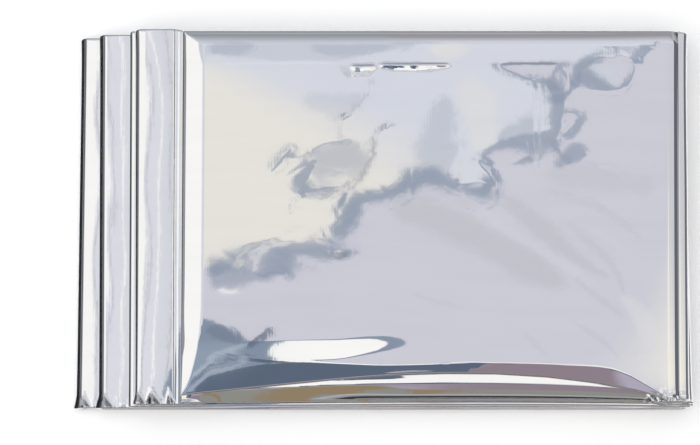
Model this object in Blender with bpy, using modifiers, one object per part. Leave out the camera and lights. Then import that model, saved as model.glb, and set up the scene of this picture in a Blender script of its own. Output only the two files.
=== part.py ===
"""Folded emergency foil blanket: one long strip of foil, folded back and forth into a flat pad.

Units are metres and +Z is up. The pad lies on the plane Z = 0 with its long side along X.
The stepped folds are at -X, the free ends at +X, the front edge at -Y and the back edge at +Y.
"""

import math
from collections import namedtuple

import bmesh
import bpy

MM = 0.001

# Size of the pad
PAD_LENGTH = 130.0 * MM
PAD_WIDTH = 81.4 * MM

# One layer is a bundle of thin plies, and the layers lie a little apart
LAYER_THICKNESS = 1.1 * MM
LAYER_GAP = 0.3 * MM
PITCH = LAYER_THICKNESS + LAYER_GAP
BEND_RADIUS = PITCH / 2

# How far each fold or free end reaches, at the pad's back and front edges, lowest first, in mm
Reach = namedtuple("Reach", "back front")
LEFT_FOLDS = (
    Reach(back=-64.8, front=-65.0),
    Reach(back=-60.4, front=-60.1),
    Reach(back=-53.7, front=-53.3),
    Reach(back=-52.2, front=-51.9),
    Reach(back=-42.7, front=-42.3),
)
LOWER_FREE_END = Reach(back=63.4, front=63.1)
RIGHT_FOLDS = (
    Reach(back=64.2, front=64.4),
    Reach(back=64.6, front=64.3),
    Reach(back=64.1, front=64.5),
    Reach(back=64.8, front=65.0),
)
UPPER_FREE_END = Reach(back=61.6, front=62.9)

# The layers, lowest first, in mm
#   front, back: how far its edge lies inside the front or the back of the pad
#   crown: how much higher its middle lies than its rim
#   lift:  how far it puffs up off the layer below, inside its own edges
#   draw:  how far its front edge draws in at mid-length
#   droop: how far its front edge hangs down at mid-length, over the drawn-in layers below
Layer = namedtuple("Layer", "front back crown lift draw droop")
LAYERS = (
    Layer(front=0.3, back=0.2, crown=0.00, lift=0.0, draw=0.0, droop=0.0),
    Layer(front=0.4, back=0.2, crown=0.08, lift=0.0, draw=0.5, droop=0.0),
    Layer(front=0.0, back=0.0, crown=0.16, lift=0.0, draw=0.0, droop=0.0),
    Layer(front=0.1, back=0.1, crown=0.24, lift=0.0, draw=0.7, droop=0.0),
    Layer(front=0.2, back=0.1, crown=0.32, lift=0.0, draw=0.3, droop=0.0),
    Layer(front=0.1, back=0.0, crown=0.40, lift=0.0, draw=0.4, droop=0.0),
    Layer(front=0.3, back=0.3, crown=0.50, lift=0.0, draw=3.6, droop=0.0),
    Layer(front=0.2, back=0.2, crown=0.60, lift=0.0, draw=6.0, droop=0.0),
    Layer(front=0.5, back=1.2, crown=0.72, lift=0.0, draw=1.2, droop=2.7),
    Layer(front=0.5, back=1.3, crown=0.84, lift=0.7, draw=5.6, droop=0.0),
)
CROWN_FLATNESS = 4
LIFT_EDGE = 3.4 * MM

# The front edges draw in between two corners of the pad, most of all right of the middle
DRAW_LEFT = -42.0 * MM
DRAW_RIGHT = 59.0 * MM
DRAW_LEAN = 1.3
DRAW_FULLNESS = 0.7
DROOP_FULLNESS = 2.0
DROOP_WIDTH = 3.8 * MM

# Where the mesh has its stations: along a layer, across it, and on a bend
ALONG_SHARES = (0, 0.03, 0.07, 0.13, 0.25, 0.40, 0.55, 0.70, 0.85, 0.95, 1)
ACROSS_SHARES = (0, 0.010, 0.022, 0.034, 0.046, 0.065, 0.10, 0.20, 0.35, 0.50, 0.65, 0.80, 0.90, 0.95, 0.98, 1)
RUN_STEPS = len(ALONG_SHARES) - 1
TURN_STEPS = 6

FOIL_COLOUR = (0.80, 0.80, 0.82, 1.0)
FOIL_METALLIC = 1.0
FOIL_ROUGHNESS = 0.18


def clear_scene():
    """Remove the objects of the start scene."""
    for scene_object in list(bpy.data.objects):
        bpy.data.objects.remove(scene_object, do_unlink=True)


def make_collection(name):
    """Make a collection in the scene."""
    collection = bpy.data.collections.new(name)
    bpy.context.scene.collection.children.link(collection)
    return collection


def foil_material():
    """Bright silver film."""
    material = bpy.data.materials.new("silver_foil")
    material.use_nodes = True
    shader = material.node_tree.nodes["Principled BSDF"]
    shader.inputs["Base Color"].default_value = FOIL_COLOUR
    shader.inputs["Metallic"].default_value = FOIL_METALLIC
    shader.inputs["Roughness"].default_value = FOIL_ROUGHNESS
    return material


def mix(start, end, share):
    """The value that lies this share of the way from start to end."""
    return start + (end - start) * share


def clamp(value):
    """The value, kept between 0 and 1."""
    return min(1, max(0, value))


def reach_at(reach, across):
    """X of a fold's outside or of a free end; across is 0 at the front and 1 at the back."""
    return mix(reach.front, reach.back, across) * MM


def run_start(layer, across):
    """X where a layer's run begins at the left, past the bend of its fold."""
    return reach_at(LEFT_FOLDS[layer // 2], across) + LAYER_THICKNESS / 2 + BEND_RADIUS


def run_end(layer, across):
    """X where a layer's run ends at the right, at its free end or before the bend of its fold."""
    if layer == 0:
        return reach_at(LOWER_FREE_END, across)
    if layer == len(LAYERS) - 1:
        return reach_at(UPPER_FREE_END, across)
    return reach_at(RIGHT_FOLDS[(layer - 1) // 2], across) - LAYER_THICKNESS / 2 - BEND_RADIUS


def draw_share(x):
    """How far the front edges have drawn in at this x: 0 at the two corners and 1 at the most."""
    along = clamp((x - DRAW_LEFT) / (DRAW_RIGHT - DRAW_LEFT))
    return clamp(math.sin(math.pi * along ** DRAW_LEAN))


def front_edge(layer, x):
    """Y of a layer's front edge."""
    form = LAYERS[layer]
    drawn_in = form.draw * draw_share(x) ** DRAW_FULLNESS
    return -PAD_WIDTH / 2 + (form.front + drawn_in) * MM


def back_edge(layer):
    """Y of a layer's back edge."""
    return PAD_WIDTH / 2 - LAYERS[layer].back * MM


def crown_share(x, y):
    """1 in the middle of the pad and 0 on its rim."""
    along_share = 1 - abs(2 * x / PAD_LENGTH) ** CROWN_FLATNESS
    across_share = 1 - abs(2 * y / PAD_WIDTH) ** CROWN_FLATNESS
    return along_share * across_share


def lift_share(inside_left, inside_front, inside_back):
    """How far a layer has puffed up at these distances inside its edges; its right end is open."""
    share = 1
    for inside in (inside_left, inside_front, inside_back):
        share *= 1 - (1 - clamp(inside / LIFT_EDGE)) ** 2
    return share


def layer_point(layer, along, across):
    """A point on the middle of one layer; along is 0 at the left and 1 at the right."""
    form = LAYERS[layer]
    start = run_start(layer, across)
    x = mix(start, run_end(layer, across), along)
    front = front_edge(layer, x)
    back = back_edge(layer)
    y = mix(front, back, across)
    roll = 1 - math.cos(math.pi / 2 * clamp(1 - (y - front) / DROOP_WIDTH))
    z = LAYER_THICKNESS / 2 + layer * PITCH
    z += form.crown * MM * crown_share(x, y)
    z += form.lift * MM * lift_share(x - start, y - front, back - y)
    z -= form.droop * MM * draw_share(x) ** DROOP_FULLNESS * roll
    return x, y, z


def fold_point(layer, turn, across):
    """A point on the bend from one layer up to the next; turn runs from 0 to 1."""
    at_left = layer % 2 == 0
    end = 0 if at_left else 1
    lower = layer_point(layer, end, across)
    upper = layer_point(layer + 1, end, across)
    angle = math.pi * (turn - 0.5)
    outward = -1 if at_left else 1
    x = mix(lower[0], upper[0], turn) + outward * BEND_RADIUS * math.cos(angle)
    y = mix(lower[1], upper[1], turn)
    z = mix(lower[2], upper[2], (1 + math.sin(angle)) / 2)
    return x, y, z


def folded_point(column, row):
    """Where a point of the flat strip lies in the folded pad.

    The strip starts at the lower free end, runs left, bends up and runs right, and so on.
    """
    across = ACROSS_SHARES[row]
    layer, step = divmod(column, RUN_STEPS + TURN_STEPS)
    if step > RUN_STEPS:
        return fold_point(layer, (step - RUN_STEPS) / TURN_STEPS, across)
    station = RUN_STEPS - step if layer % 2 == 0 else step
    return layer_point(layer, ALONG_SHARES[station], across)


def make_blanket(collection):
    """Fold a flat grid, and give it the thickness of its plies."""
    columns = len(LAYERS) * (RUN_STEPS + TURN_STEPS) - TURN_STEPS
    rows = len(ACROSS_SHARES) - 1
    strip = bmesh.new()
    bmesh.ops.create_grid(strip, x_segments=columns, y_segments=rows, size=1)
    for point in strip.verts:
        column = round((point.co.x + 1) / 2 * columns)
        row = round((point.co.y + 1) / 2 * rows)
        point.co = folded_point(column, row)
    for face in strip.faces:
        face.smooth = True
    mesh = bpy.data.meshes.new("foil_blanket")
    strip.to_mesh(mesh)
    strip.free()

    blanket = bpy.data.objects.new("foil_blanket", mesh)
    collection.objects.link(blanket)
    blanket.data.materials.append(foil_material())
    plies = blanket.modifiers.new("plies", "SOLIDIFY")
    plies.thickness = LAYER_THICKNESS
    plies.offset = 0
    return blanket


def main():
    """Build the folded blanket."""
    clear_scene()
    make_blanket(make_collection("folded_emergency_foil_blanket"))


main()
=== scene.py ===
# %% [markdown]
# # A folded emergency foil blanket
#
# This lesson dresses a plain CAD pad as a real emergency blanket: one sheet of very thin
# silver film, folded lengthwise into a narrow band and then back and forth into a flat pad.
# The film is a mirror, so three things make its look: the shape of the folds, the small
# buckles and creases of the upper ply, and the soft light that the film reflects.

# %% Load the frame
import math
from collections import namedtuple

import bmesh
import bpy
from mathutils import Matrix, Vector, noise
from mathutils.geometry import interpolate_bezier


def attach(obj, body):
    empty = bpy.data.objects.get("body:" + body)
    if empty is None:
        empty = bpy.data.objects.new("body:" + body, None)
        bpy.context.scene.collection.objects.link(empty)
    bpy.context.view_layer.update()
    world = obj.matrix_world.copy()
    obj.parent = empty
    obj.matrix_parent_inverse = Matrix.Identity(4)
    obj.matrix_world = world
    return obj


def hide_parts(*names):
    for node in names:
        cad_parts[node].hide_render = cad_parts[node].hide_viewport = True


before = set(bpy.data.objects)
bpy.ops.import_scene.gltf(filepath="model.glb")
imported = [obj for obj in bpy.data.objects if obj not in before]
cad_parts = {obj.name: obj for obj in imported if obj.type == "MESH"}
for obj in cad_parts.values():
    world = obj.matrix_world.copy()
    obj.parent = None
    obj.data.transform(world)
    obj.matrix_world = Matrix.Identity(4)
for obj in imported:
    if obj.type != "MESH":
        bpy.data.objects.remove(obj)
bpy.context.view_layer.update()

MM = 0.001

# %% [markdown]
# ## The camera
#
# The pad is seen from nearly straight above, with the front edge just showing. A long lens keeps
# the long edges parallel. The distance follows from the lens and from the width of the view, so
# a change of lens keeps the framing.

# %% Camera
IMAGE_WIDTH = 700
MM_PER_PIXEL = 0.2096
LENS = 150.0
SENSOR = 36.0
CAMERA_TILT = math.radians(10)
AIM = Vector((-6.7, -2.07, 13.7)) * MM


def make_camera():
    """A long lens that leans 10 degrees from straight down, towards the front edge."""
    data = bpy.data.cameras.new("camera")
    data.lens = LENS
    data.sensor_width = SENSOR
    camera = bpy.data.objects.new("camera", data)
    distance = IMAGE_WIDTH * MM_PER_PIXEL * MM * LENS / SENSOR
    camera.location = AIM + distance * Vector((0, -math.sin(CAMERA_TILT), math.cos(CAMERA_TILT)))
    camera.rotation_euler = (CAMERA_TILT, 0, 0)
    bpy.context.scene.collection.objects.link(camera)
    bpy.context.scene.camera = camera
    return distance


print("camera distance in metres:", round(make_camera(), 3))

# %% [markdown]
# ## The folded band
#
# The film is first folded lengthwise into a bundle of four plies, A to D, as wide as the pad.
# The bundle then runs left and right in ten layers. Each layer has its own row in the table,
# because no two layers of a hand-folded blanket lie quite alike.

# %% Sizes of the fold, in mm
LAYER_PITCH = 1.4
FIRST_HEIGHT = 0.62
PAD_HALF_LENGTH = 65.0
PAD_HALF_WIDTH = 40.7
EDGE_INSET = 0.62

# back, front: x of the fold at the pad's back and front edge. stretch: how far the bend reaches
# out at the front, against half its height. flare: how much further it reaches out at the back.
# pinch: 1 for a round bend, more for one that is pressed to a point.
Fold = namedtuple("Fold", "back front stretch flare pinch")
LEFT_FOLDS = (
    Fold(back=-64.7, front=-64.6, stretch=1.15, flare=0.0, pinch=1.45),
    Fold(back=-60.5, front=-59.6, stretch=1.05, flare=0.1, pinch=1.45),
    Fold(back=-53.8, front=-53.1, stretch=0.75, flare=0.1, pinch=0.8),
    Fold(back=-52.3, front=-51.5, stretch=0.7, flare=1.1, pinch=0.8),
    Fold(back=-42.2, front=-41.9, stretch=0.3, flare=0.1, pinch=1.0),
)
LOWER_FREE_END = Fold(back=63.4, front=63.1, stretch=0, flare=0, pinch=1.0)
RIGHT_FOLDS = (
    Fold(back=64.2, front=64.4, stretch=1.5, flare=0, pinch=1.0),
    Fold(back=64.6, front=64.3, stretch=1.5, flare=0, pinch=1.0),
    Fold(back=64.6, front=65.0, stretch=1.5, flare=0, pinch=1.0),
    Fold(back=65.3, front=64.3, stretch=1.9, flare=0, pinch=1.0),
)
UPPER_FREE_END = Fold(back=62.9, front=61.6, stretch=0, flare=0, pinch=1.0)

# front, back: how far an edge lies inside the pad's. crown: rise of the middle. corner: how much
# further inside the front edge lies at the left end. draw: how far the front edge draws in at
# mid-length. recede: how much further in the back edge lies beyond the strips at the left. tilt: rise
# in mm per mm of the strip that shows at the left.
Layer = namedtuple("Layer", "front back crown corner draw recede tilt")
LAYERS = (
    Layer(front=0.3, back=0.2, crown=0.00, corner=0.0, draw=0.0, recede=0.0, tilt=0.000),
    Layer(front=0.4, back=0.2, crown=0.08, corner=0.0, draw=0.5, recede=0.0, tilt=0.034),
    Layer(front=0.0, back=0.0, crown=0.16, corner=0.0, draw=0.0, recede=0.0, tilt=0.000),
    Layer(front=0.1, back=0.1, crown=0.24, corner=0.0, draw=0.7, recede=0.0, tilt=0.0242),
    Layer(front=0.2, back=0.1, crown=0.32, corner=0.0, draw=0.3, recede=0.0, tilt=0.000),
    Layer(front=0.1, back=0.0, crown=0.40, corner=0.0, draw=0.4, recede=0.0, tilt=0.010),
    Layer(front=0.3, back=0.3, crown=0.50, corner=0.0, draw=3.6, recede=0.0, tilt=0.000),
    Layer(front=0.2, back=0.2, crown=0.60, corner=0.0, draw=6.0, recede=1.0, tilt=0.028),
    Layer(front=0.5, back=1.2, crown=0.72, corner=0.0, draw=0.6, recede=0.0, tilt=0.000),
    Layer(front=0.5, back=1.3, crown=0.84, corner=1.3, draw=5.9, recede=0.0, tilt=0.000),
)
TOP_LAYER = len(LAYERS) - 1
CROWN_FLATNESS = 4
DRAW_LEFT = -42.0
DRAW_RIGHT = 59.0
DRAW_LEAN = 1.3
DRAW_FULLNESS = 0.65
CORNER_FADE = 14.0
RECEDE_START = -45.0
RECEDE_LENGTH = 6.0


def mix(start, end, share):
    """The value that lies this share of the way from start to end."""
    return start + (end - start) * share


def clamp(value):
    """The value, kept between 0 and 1."""
    return min(1, max(0, value))


def smooth(value):
    """0 to 1 with soft ends."""
    value = clamp(value)
    return value * value * (3 - 2 * value)


def at_left_end(layer):
    """True where the bend from this layer to the next is at the left."""
    return layer % 2 == 0


def crown_share(x, y):
    """1 in the middle of the pad and 0 on its rim."""
    along = 1 - min(1, abs(x / PAD_HALF_LENGTH)) ** CROWN_FLATNESS
    across = 1 - min(1, abs(y / PAD_HALF_WIDTH)) ** CROWN_FLATNESS
    return along * across


def draw_share(x):
    """How far the front edges have drawn in at this x: 0 at both corners and 1 between them."""
    along = clamp((x - DRAW_LEFT) / (DRAW_RIGHT - DRAW_LEFT))
    return clamp(math.sin(math.pi * along ** DRAW_LEAN)) ** DRAW_FULLNESS


def front_edge(layer, x):
    """Y of a layer's front edge, where its plies turn."""
    form = LAYERS[layer]
    corner = form.corner * math.exp(-max(0, x - DRAW_LEFT) / CORNER_FADE)
    return -PAD_HALF_WIDTH + EDGE_INSET + form.front + corner + form.draw * draw_share(x)


def back_edge(layer, x):
    """Y of a layer's back edge, where its plies turn."""
    form = LAYERS[layer]
    recede = form.recede * smooth((x - RECEDE_START) / RECEDE_LENGTH)
    return PAD_HALF_WIDTH - EDGE_INSET - form.back - recede


print("layers:", len(LAYERS), "pad height in mm:", FIRST_HEIGHT * 2 + LAYER_PITCH * (len(LAYERS) - 1))

# %% [markdown]
# ## The pillow edge of the top layer
#
# The upper plies hold some air, so the top layer stands a little off the one below and comes down
# to it in a bevel all round. At the left the bevel is steep at its foot and gentle further in.
# At the front it is wide and soft near the left corner, and narrow with a crisp inner crease
# further right. A crisp crease shows as a sudden change in the mirror, a soft one as a smear.

# %% Rise of the top layer
LIFT = 0.75
LEFT_BEVEL = 4.0
LEFT_BEVEL_AT_CORNER = 0.9
LEFT_NARROWS_FROM = -20.0
LEFT_NARROWS_OVER = 18.0
LEFT_ROUNDNESS = 3.0
LEFT_SLOPE = 0.072
LEFT_GENTLE_MOST = 0.5
SMALLEST_RISE = 0.01
BACK_BEVEL = 3.0
BACK_ROUNDNESS = 2.0
RIGHT_BEVEL = 2.3
RIGHT_DROP = 0.75
# drop: how far the front edge comes down. roundness: 1 for a flat bevel with a crisp inner crease,
# 2 for a soft one.
Bevel = namedtuple("Bevel", "x width drop roundness")
FRONT_BEVELS = (
    Bevel(x=-42, width=10.5, drop=0.62, roundness=1.40),
    Bevel(x=-36, width=8.6, drop=0.60, roundness=1.40),
    Bevel(x=-30, width=6.8, drop=0.57, roundness=1.30),
    Bevel(x=-24, width=5.4, drop=0.55, roundness=1.22),
    Bevel(x=-17, width=4.3, drop=0.54, roundness=1.20),
    Bevel(x=-9, width=3.0, drop=0.50, roundness=1.15),
    Bevel(x=0, width=1.9, drop=0.38, roundness=1.12),
    Bevel(x=10, width=1.6, drop=0.33, roundness=1.12),
    Bevel(x=18, width=2.0, drop=0.38, roundness=1.12),
    Bevel(x=24, width=1.9, drop=0.52, roundness=1.12),
    Bevel(x=38, width=2.5, drop=0.62, roundness=1.12),
    Bevel(x=47, width=3.1, drop=0.75, roundness=1.08),
    Bevel(x=51, width=2.5, drop=0.70, roundness=1.06),
    Bevel(x=54, width=1.5, drop=0.50, roundness=1.06),
    Bevel(x=57, width=0.7, drop=0.30, roundness=1.20),
    Bevel(x=61, width=0.5, drop=0.25, roundness=1.20),
)
# a soft step behind the bevel. middle: y of its middle. height: how far the film comes down there.
Swell = namedtuple("Swell", "x middle height")
SWELLS = (
    Swell(x=-42, middle=-28.6, height=0.12),
    Swell(x=-33, middle=-29.1, height=0.21),
    Swell(x=-25, middle=-29.3, height=0.24),
    Swell(x=-17, middle=-29.1, height=0.25),
    Swell(x=-9, middle=-28.9, height=0.23),
    Swell(x=-2, middle=-28.0, height=0.15),
    Swell(x=4, middle=-27.4, height=0.085),
    Swell(x=10, middle=-27.3, height=0.03),
    Swell(x=14, middle=-27.5, height=0.00),
)
SWELL_WIDTH = 5.2


def between_rows(table, x):
    """The row for this x, on a smooth curve through the rows of a table."""
    last = len(table) - 1
    spot = next((i for i in range(last) if x <= table[i + 1].x), last - 1)
    left, right = table[spot], table[spot + 1]
    share = clamp((x - left.x) / (right.x - left.x))

    def curve(before, start, end, after):
        bend = 2 * before - 5 * start + 4 * end - after
        twist = 3 * start - before - 3 * end + after
        return start + share * (end - before + share * (bend + share * twist)) / 2

    return type(left)(*map(curve, table[max(spot - 1, 0)], left, right, table[min(spot + 2, last)]))


def swell_height(x, y):
    """How far the film has come down at the soft step."""
    swell = between_rows(SWELLS, x)
    return swell.height * (1 - smooth((y - swell.middle) / SWELL_WIDTH + 0.5))


def ramp(inside, width, roundness):
    """Rises from 0 at an edge to 1 at this width inside it; more roundness makes it softer there."""
    return 1 - (1 - clamp(inside / width)) ** roundness


def left_ramp(inside, y, rise):
    """Like ramp, for the left edge: steep and round at first, then gentle with a crisp inner crease."""
    width = mix(LEFT_BEVEL, LEFT_BEVEL_AT_CORNER, clamp((LEFT_NARROWS_FROM - y) / LEFT_NARROWS_OVER) ** 2)
    gentle = min(LEFT_GENTLE_MOST, LEFT_SLOPE * width / max(rise, SMALLEST_RISE))
    return gentle * clamp(inside / width) + (1 - gentle) * ramp(inside, width, LEFT_ROUNDNESS)


def lift_height(inside_left, inside_right, inside_front, inside_back, x, y, right_drop):
    """Rise of the top layer off the one below."""
    bevel = between_rows(FRONT_BEVELS, x)
    rise = LIFT - bevel.drop * (1 - ramp(inside_front, bevel.width, bevel.roundness)) - swell_height(x, y)
    rise *= min(left_ramp(inside_left, y, rise), ramp(inside_back, BACK_BEVEL, BACK_ROUNDNESS))
    return rise - right_drop * clamp(1 - inside_right / RIGHT_BEVEL) ** 2


print("front bevel at mid-length:", between_rows(FRONT_BEVELS, 10))

# %% [markdown]
# ## The drooping front of the second layer
#
# At mid-length the layer under the top one reaches further forward. It leans down a little from
# the top layer's edge to a crease, and then rolls over the drawn-in layers below it.

# %% Fall of the second layer's front
SHELF_SLOPE = 0.045
# the shelf's inner part leans more, as far right as SHELF_INNER_RIGHT
SHELF_INNER = 0.05
SHELF_INNER_RIGHT = 14.0
SHELF_SPLIT = 0.9
ROLL_NARROW = 1.6
ROLL_WIDE = 3.2
# slopes of the roll at its inner and its outer side. change_at, change_over: where along the edge the
# value runs from left to right.
Slope = namedtuple("Slope", "left right change_at change_over")
ROLL_INNER = Slope(left=0.52, right=0.24, change_at=-12.0, change_over=22.0)
ROLL_OUTER = Slope(left=0.70, right=1.35, change_at=-16.0, change_over=14.0)
ROLL_POWER = 2.5
DROOP_ONSET = 4.5


def slope_at(slope, x):
    """The slope's value at this x."""
    return mix(slope.left, slope.right, smooth((x - slope.change_at) / slope.change_over))


def droop_height(x, inside_front):
    """How far the layer under the top one has come down at this distance from its front edge."""
    share = draw_share(x)
    width = mix(ROLL_NARROW, ROLL_WIDE, share)
    under_top = front_edge(TOP_LAYER, x) - front_edge(TOP_LAYER - 1, x)
    shelf = SHELF_SLOPE * max(0, under_top - max(inside_front, width))
    inner_lean = SHELF_INNER * smooth((SHELF_INNER_RIGHT - x) / SHELF_INNER_RIGHT)
    shelf += inner_lean * max(0, under_top - max(inside_front, width + SHELF_SPLIT))
    roll = clamp(1 - inside_front / width)
    if not roll:
        return shelf
    slope = slope_at(ROLL_INNER, x)
    steeper = (slope_at(ROLL_OUTER, x) - slope) * roll ** (ROLL_POWER + 1) / (ROLL_POWER + 1)
    return shelf + width * (slope * roll + steeper) * clamp(share * DROOP_ONSET)


print("droop at mid-length in mm:", round(droop_height(10, 0), 2))

# %% [markdown]
# ## Creases and buckles of the upper ply
#
# A mirror shows slopes of a thousandth, so the relief is tiny. A crease is a thin ridge or trough
# along a line or a bow. A facet is a patch that leans a little, as the flat parts between
# creases do. A lip is a pinch of film that rises sharply on one side and falls away on the other.
# Each one has its own row, because nothing repeats in film that was folded by hand.

# %% Tables of creases, facets and lips, in mm
Crease = namedtuple("Crease", "start end bow width height")
CREASES = (
    # the fold marks of the flat sheet
    Crease(start=(31.7, 32.0), end=(31.9, 6.5), bow=0, width=0.22, height=0.002),
    Crease(start=(32.7, 32.0), end=(32.9, 9.5), bow=0, width=0.22, height=-0.002),
    # the wandering line below the pinch
    Crease(start=(-3.3, 29.2), end=(-2.1, 26.3), bow=-0.3, width=0.30, height=0.001),
    Crease(start=(-2.1, 27.0), end=(-2.9, 24.8), bow=-0.2, width=0.30, height=0.0024),
    Crease(start=(-2.9, 24.6), end=(-6.1, 20.2), bow=-0.5, width=0.28, height=0.0006),
    Crease(start=(-5.7, 20.4), end=(-8.8, 19.1), bow=-0.2, width=0.34, height=0.0028),
    Crease(start=(-8.8, 19.0), end=(-8.7, 15.6), bow=0.2, width=0.25, height=0.0006),
    # the loop in the middle
    Crease(start=(1.7, 18.6), end=(-0.9, 16.7), bow=0.2, width=0.30, height=0.0018),
    Crease(start=(-1.2, 16.9), end=(-7.6, 5.4), bow=-1.8, width=0.45, height=0.002),
    Crease(start=(-6.3, 15.5), end=(-15.4, 12.6), bow=-0.6, width=0.30, height=0.0012),
    Crease(start=(-15.2, 12.6), end=(-20.4, 11.0), bow=0.4, width=0.30, height=0.001),
    Crease(start=(-13.4, 11.6), end=(-17.8, 4.4), bow=0.7, width=0.90, height=0.0024),
    Crease(start=(-17.8, 4.4), end=(-16.6, 1.8), bow=0.3, width=0.60, height=0.002),
    Crease(start=(-16.6, 3.4), end=(-7.8, 5.2), bow=0.8, width=0.80, height=0.002),
    # short strokes at the left
    Crease(start=(-18.8, 14.0), end=(-24.0, 8.0), bow=0.4, width=0.55, height=0.0028),
    Crease(start=(-18.7, 2.6), end=(-20.0, 0.2), bow=0.1, width=0.30, height=0.001),
    Crease(start=(-13.7, -2.8), end=(-10.5, -3.6), bow=0.3, width=0.30, height=0.0012),
    Crease(start=(-31.0, -8.3), end=(-20.0, -5.2), bow=0.6, width=0.40, height=0.0018),
    Crease(start=(-31.5, -9.8), end=(-26.0, -8.0), bow=0.3, width=0.35, height=0.0014),
    Crease(start=(-10.6, -8.6), end=(-6.0, -8.2), bow=0.2, width=0.45, height=0.0016),
    # the network near the back right corner
    Crease(start=(24.7, 31.8), end=(28.5, 29.4), bow=-0.3, width=0.50, height=0.0024),
    Crease(start=(28.0, 29.6), end=(34.6, 27.6), bow=-0.3, width=0.50, height=0.002),
    Crease(start=(34.4, 30.6), end=(36.4, 24.4), bow=-0.5, width=0.60, height=0.0026),
    Crease(start=(37.6, 31.4), end=(39.6, 24.6), bow=1.0, width=0.50, height=0.0022),
    Crease(start=(39.6, 24.6), end=(42.4, 27.0), bow=0.4, width=0.40, height=0.002),
    Crease(start=(42.0, 26.6), end=(51.5, 26.8), bow=-0.9, width=0.50, height=0.0028),
    Crease(start=(51.4, 26.6), end=(53.5, 31.8), bow=-0.4, width=0.50, height=0.0024),
    Crease(start=(43.5, 32.6), end=(54.0, 33.0), bow=0.4, width=0.50, height=0.0024),
    Crease(start=(54.0, 33.0), end=(58.4, 36.2), bow=-0.4, width=0.55, height=0.0024),
    Crease(start=(38.5, 24.8), end=(36.2, 14.6), bow=0.5, width=0.60, height=0.0026),
    Crease(start=(38.6, 21.2), end=(42.2, 19.8), bow=0.6, width=0.40, height=0.002),
    Crease(start=(42.2, 20.0), end=(37.6, 14.8), bow=-0.8, width=0.45, height=0.0022),
    Crease(start=(37.0, 13.8), end=(39.6, 9.4), bow=-0.4, width=0.70, height=0.0028),
    Crease(start=(39.6, 9.4), end=(43.4, 12.6), bow=-0.6, width=0.60, height=0.0022),
    # the hook right of the middle
    Crease(start=(19.6, 11.2), end=(24.2, 4.6), bow=0.4, width=0.50, height=0.0024),
    Crease(start=(24.0, 5.0), end=(15.4, 5.4), bow=-1.4, width=0.55, height=0.0026),
    Crease(start=(15.4, 6.6), end=(18.2, 7.6), bow=0.2, width=0.30, height=0.0012),
    # the long low ridge near the front edge
    Crease(start=(-25.0, -27.0), end=(-17.0, -26.6), bow=0.3, width=0.60, height=0.0012),
    Crease(start=(-28.5, -28.2), end=(-23.6, -25.4), bow=0.1, width=0.45, height=0.0024),
    Crease(start=(-34.5, -27.5), end=(-31.0, -25.0), bow=0.2, width=0.40, height=0.0012),
)

# a patch that leans: to_right and to_back are its slopes in mm per mm
Facet = namedtuple("Facet", "place length width to_right to_back")
FACETS = (
    Facet(place=(-8.5, 10.8), length=8.5, width=5.0, to_right=0.0000, to_back=0.0010),
    Facet(place=(-12.0, 26.0), length=9.0, width=5.0, to_right=0.0014, to_back=-0.0021),
    Facet(place=(20.0, 7.0), length=4.0, width=3.5, to_right=0.0007, to_back=-0.0017),
    Facet(place=(40.5, 17.5), length=2.6, width=3.0, to_right=0.0007, to_back=-0.0014),
    Facet(place=(47.5, 28.6), length=4.2, width=2.6, to_right=0.0010, to_back=-0.0014),
    Facet(place=(38.6, 28.0), length=1.8, width=3.4, to_right=0.0010, to_back=-0.0014),
    Facet(place=(28.0, 14.0), length=6.0, width=4.0, to_right=-0.0014, to_back=0.0021),
    Facet(place=(-22.0, -9.0), length=6.0, width=3.5, to_right=0.0010, to_back=0.0028),
)

# rise: height of the sharp side. fall: how far the soft side runs, towards the front.
Lip = namedtuple("Lip", "start end rise fall")
LIPS = (
    Lip(start=(-0.4, 31.5), end=(14.4, 31.7), rise=0.31, fall=1.5),
    Lip(start=(-6.4, 31.1), end=(-1.2, 31.4), rise=0.34, fall=1.65),
    Lip(start=(-5.9, 29.4), end=(-2.2, 29.8), rise=0.16, fall=0.45),
)
# where a lip turns steep, and so dark, near its sharp side
Pucker = namedtuple("Pucker", "x reach strength")
PUCKERS = (
    Pucker(x=1.5, reach=1.8, strength=0.34),
    Pucker(x=4.2, reach=0.5, strength=0.12),
    Pucker(x=7.1, reach=0.8, strength=0.30),
    Pucker(x=12.9, reach=1.2, strength=0.40),
)
print("creases:", len(CREASES), "facets:", len(FACETS), "lips:", len(LIPS))

# %% [markdown]
# Each kind of relief has its own cross-section. A crease falls off quickly on both sides, a facet
# fades out round its rim, and a lip is steep on its sharp side. All of them run out to nothing at
# their ends, so none leaves a step in the mirror.

# %% Heights of one crease, facet or lip
CREASE_TIP = 0.12
CREASE_ROUNDING = 0.08
FACET_REACH = 1.7
LIP_FULLNESS = 0.25
LIP_WANDER = 0.4
LIP_SHARPNESS = 0.08
PUCKER_START = 0.5


def bowed(point, start, end, bow):
    """Share along a bowed line and distance from it, in mm."""
    along = Vector(end) - Vector(start)
    across = Vector((-along.y, along.x)).normalized()
    offset = point - Vector(start)
    share = offset.dot(along) / along.length_squared
    return share, offset.dot(across) - bow * 4 * share * (1 - share)


def crease_height(point, crease, wander):
    """A thin ridge or trough, whose line wanders a little."""
    share, distance = bowed(point, crease.start, crease.end, crease.bow)
    ends = smooth(share / CREASE_TIP) * smooth((1 - share) / CREASE_TIP)
    if not ends:
        return 0
    return crease.height * ends * math.exp(-math.hypot(distance + wander, CREASE_ROUNDING) / crease.width)


def facet_height(point, facet):
    """A leaning patch that fades out round its rim."""
    offset = point - Vector(facet.place)
    reach = math.hypot(offset.x / facet.length, offset.y / facet.width)
    if reach > FACET_REACH:
        return 0
    return (facet.to_right * offset.x + facet.to_back * offset.y) * math.exp(-reach ** 3)


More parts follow.
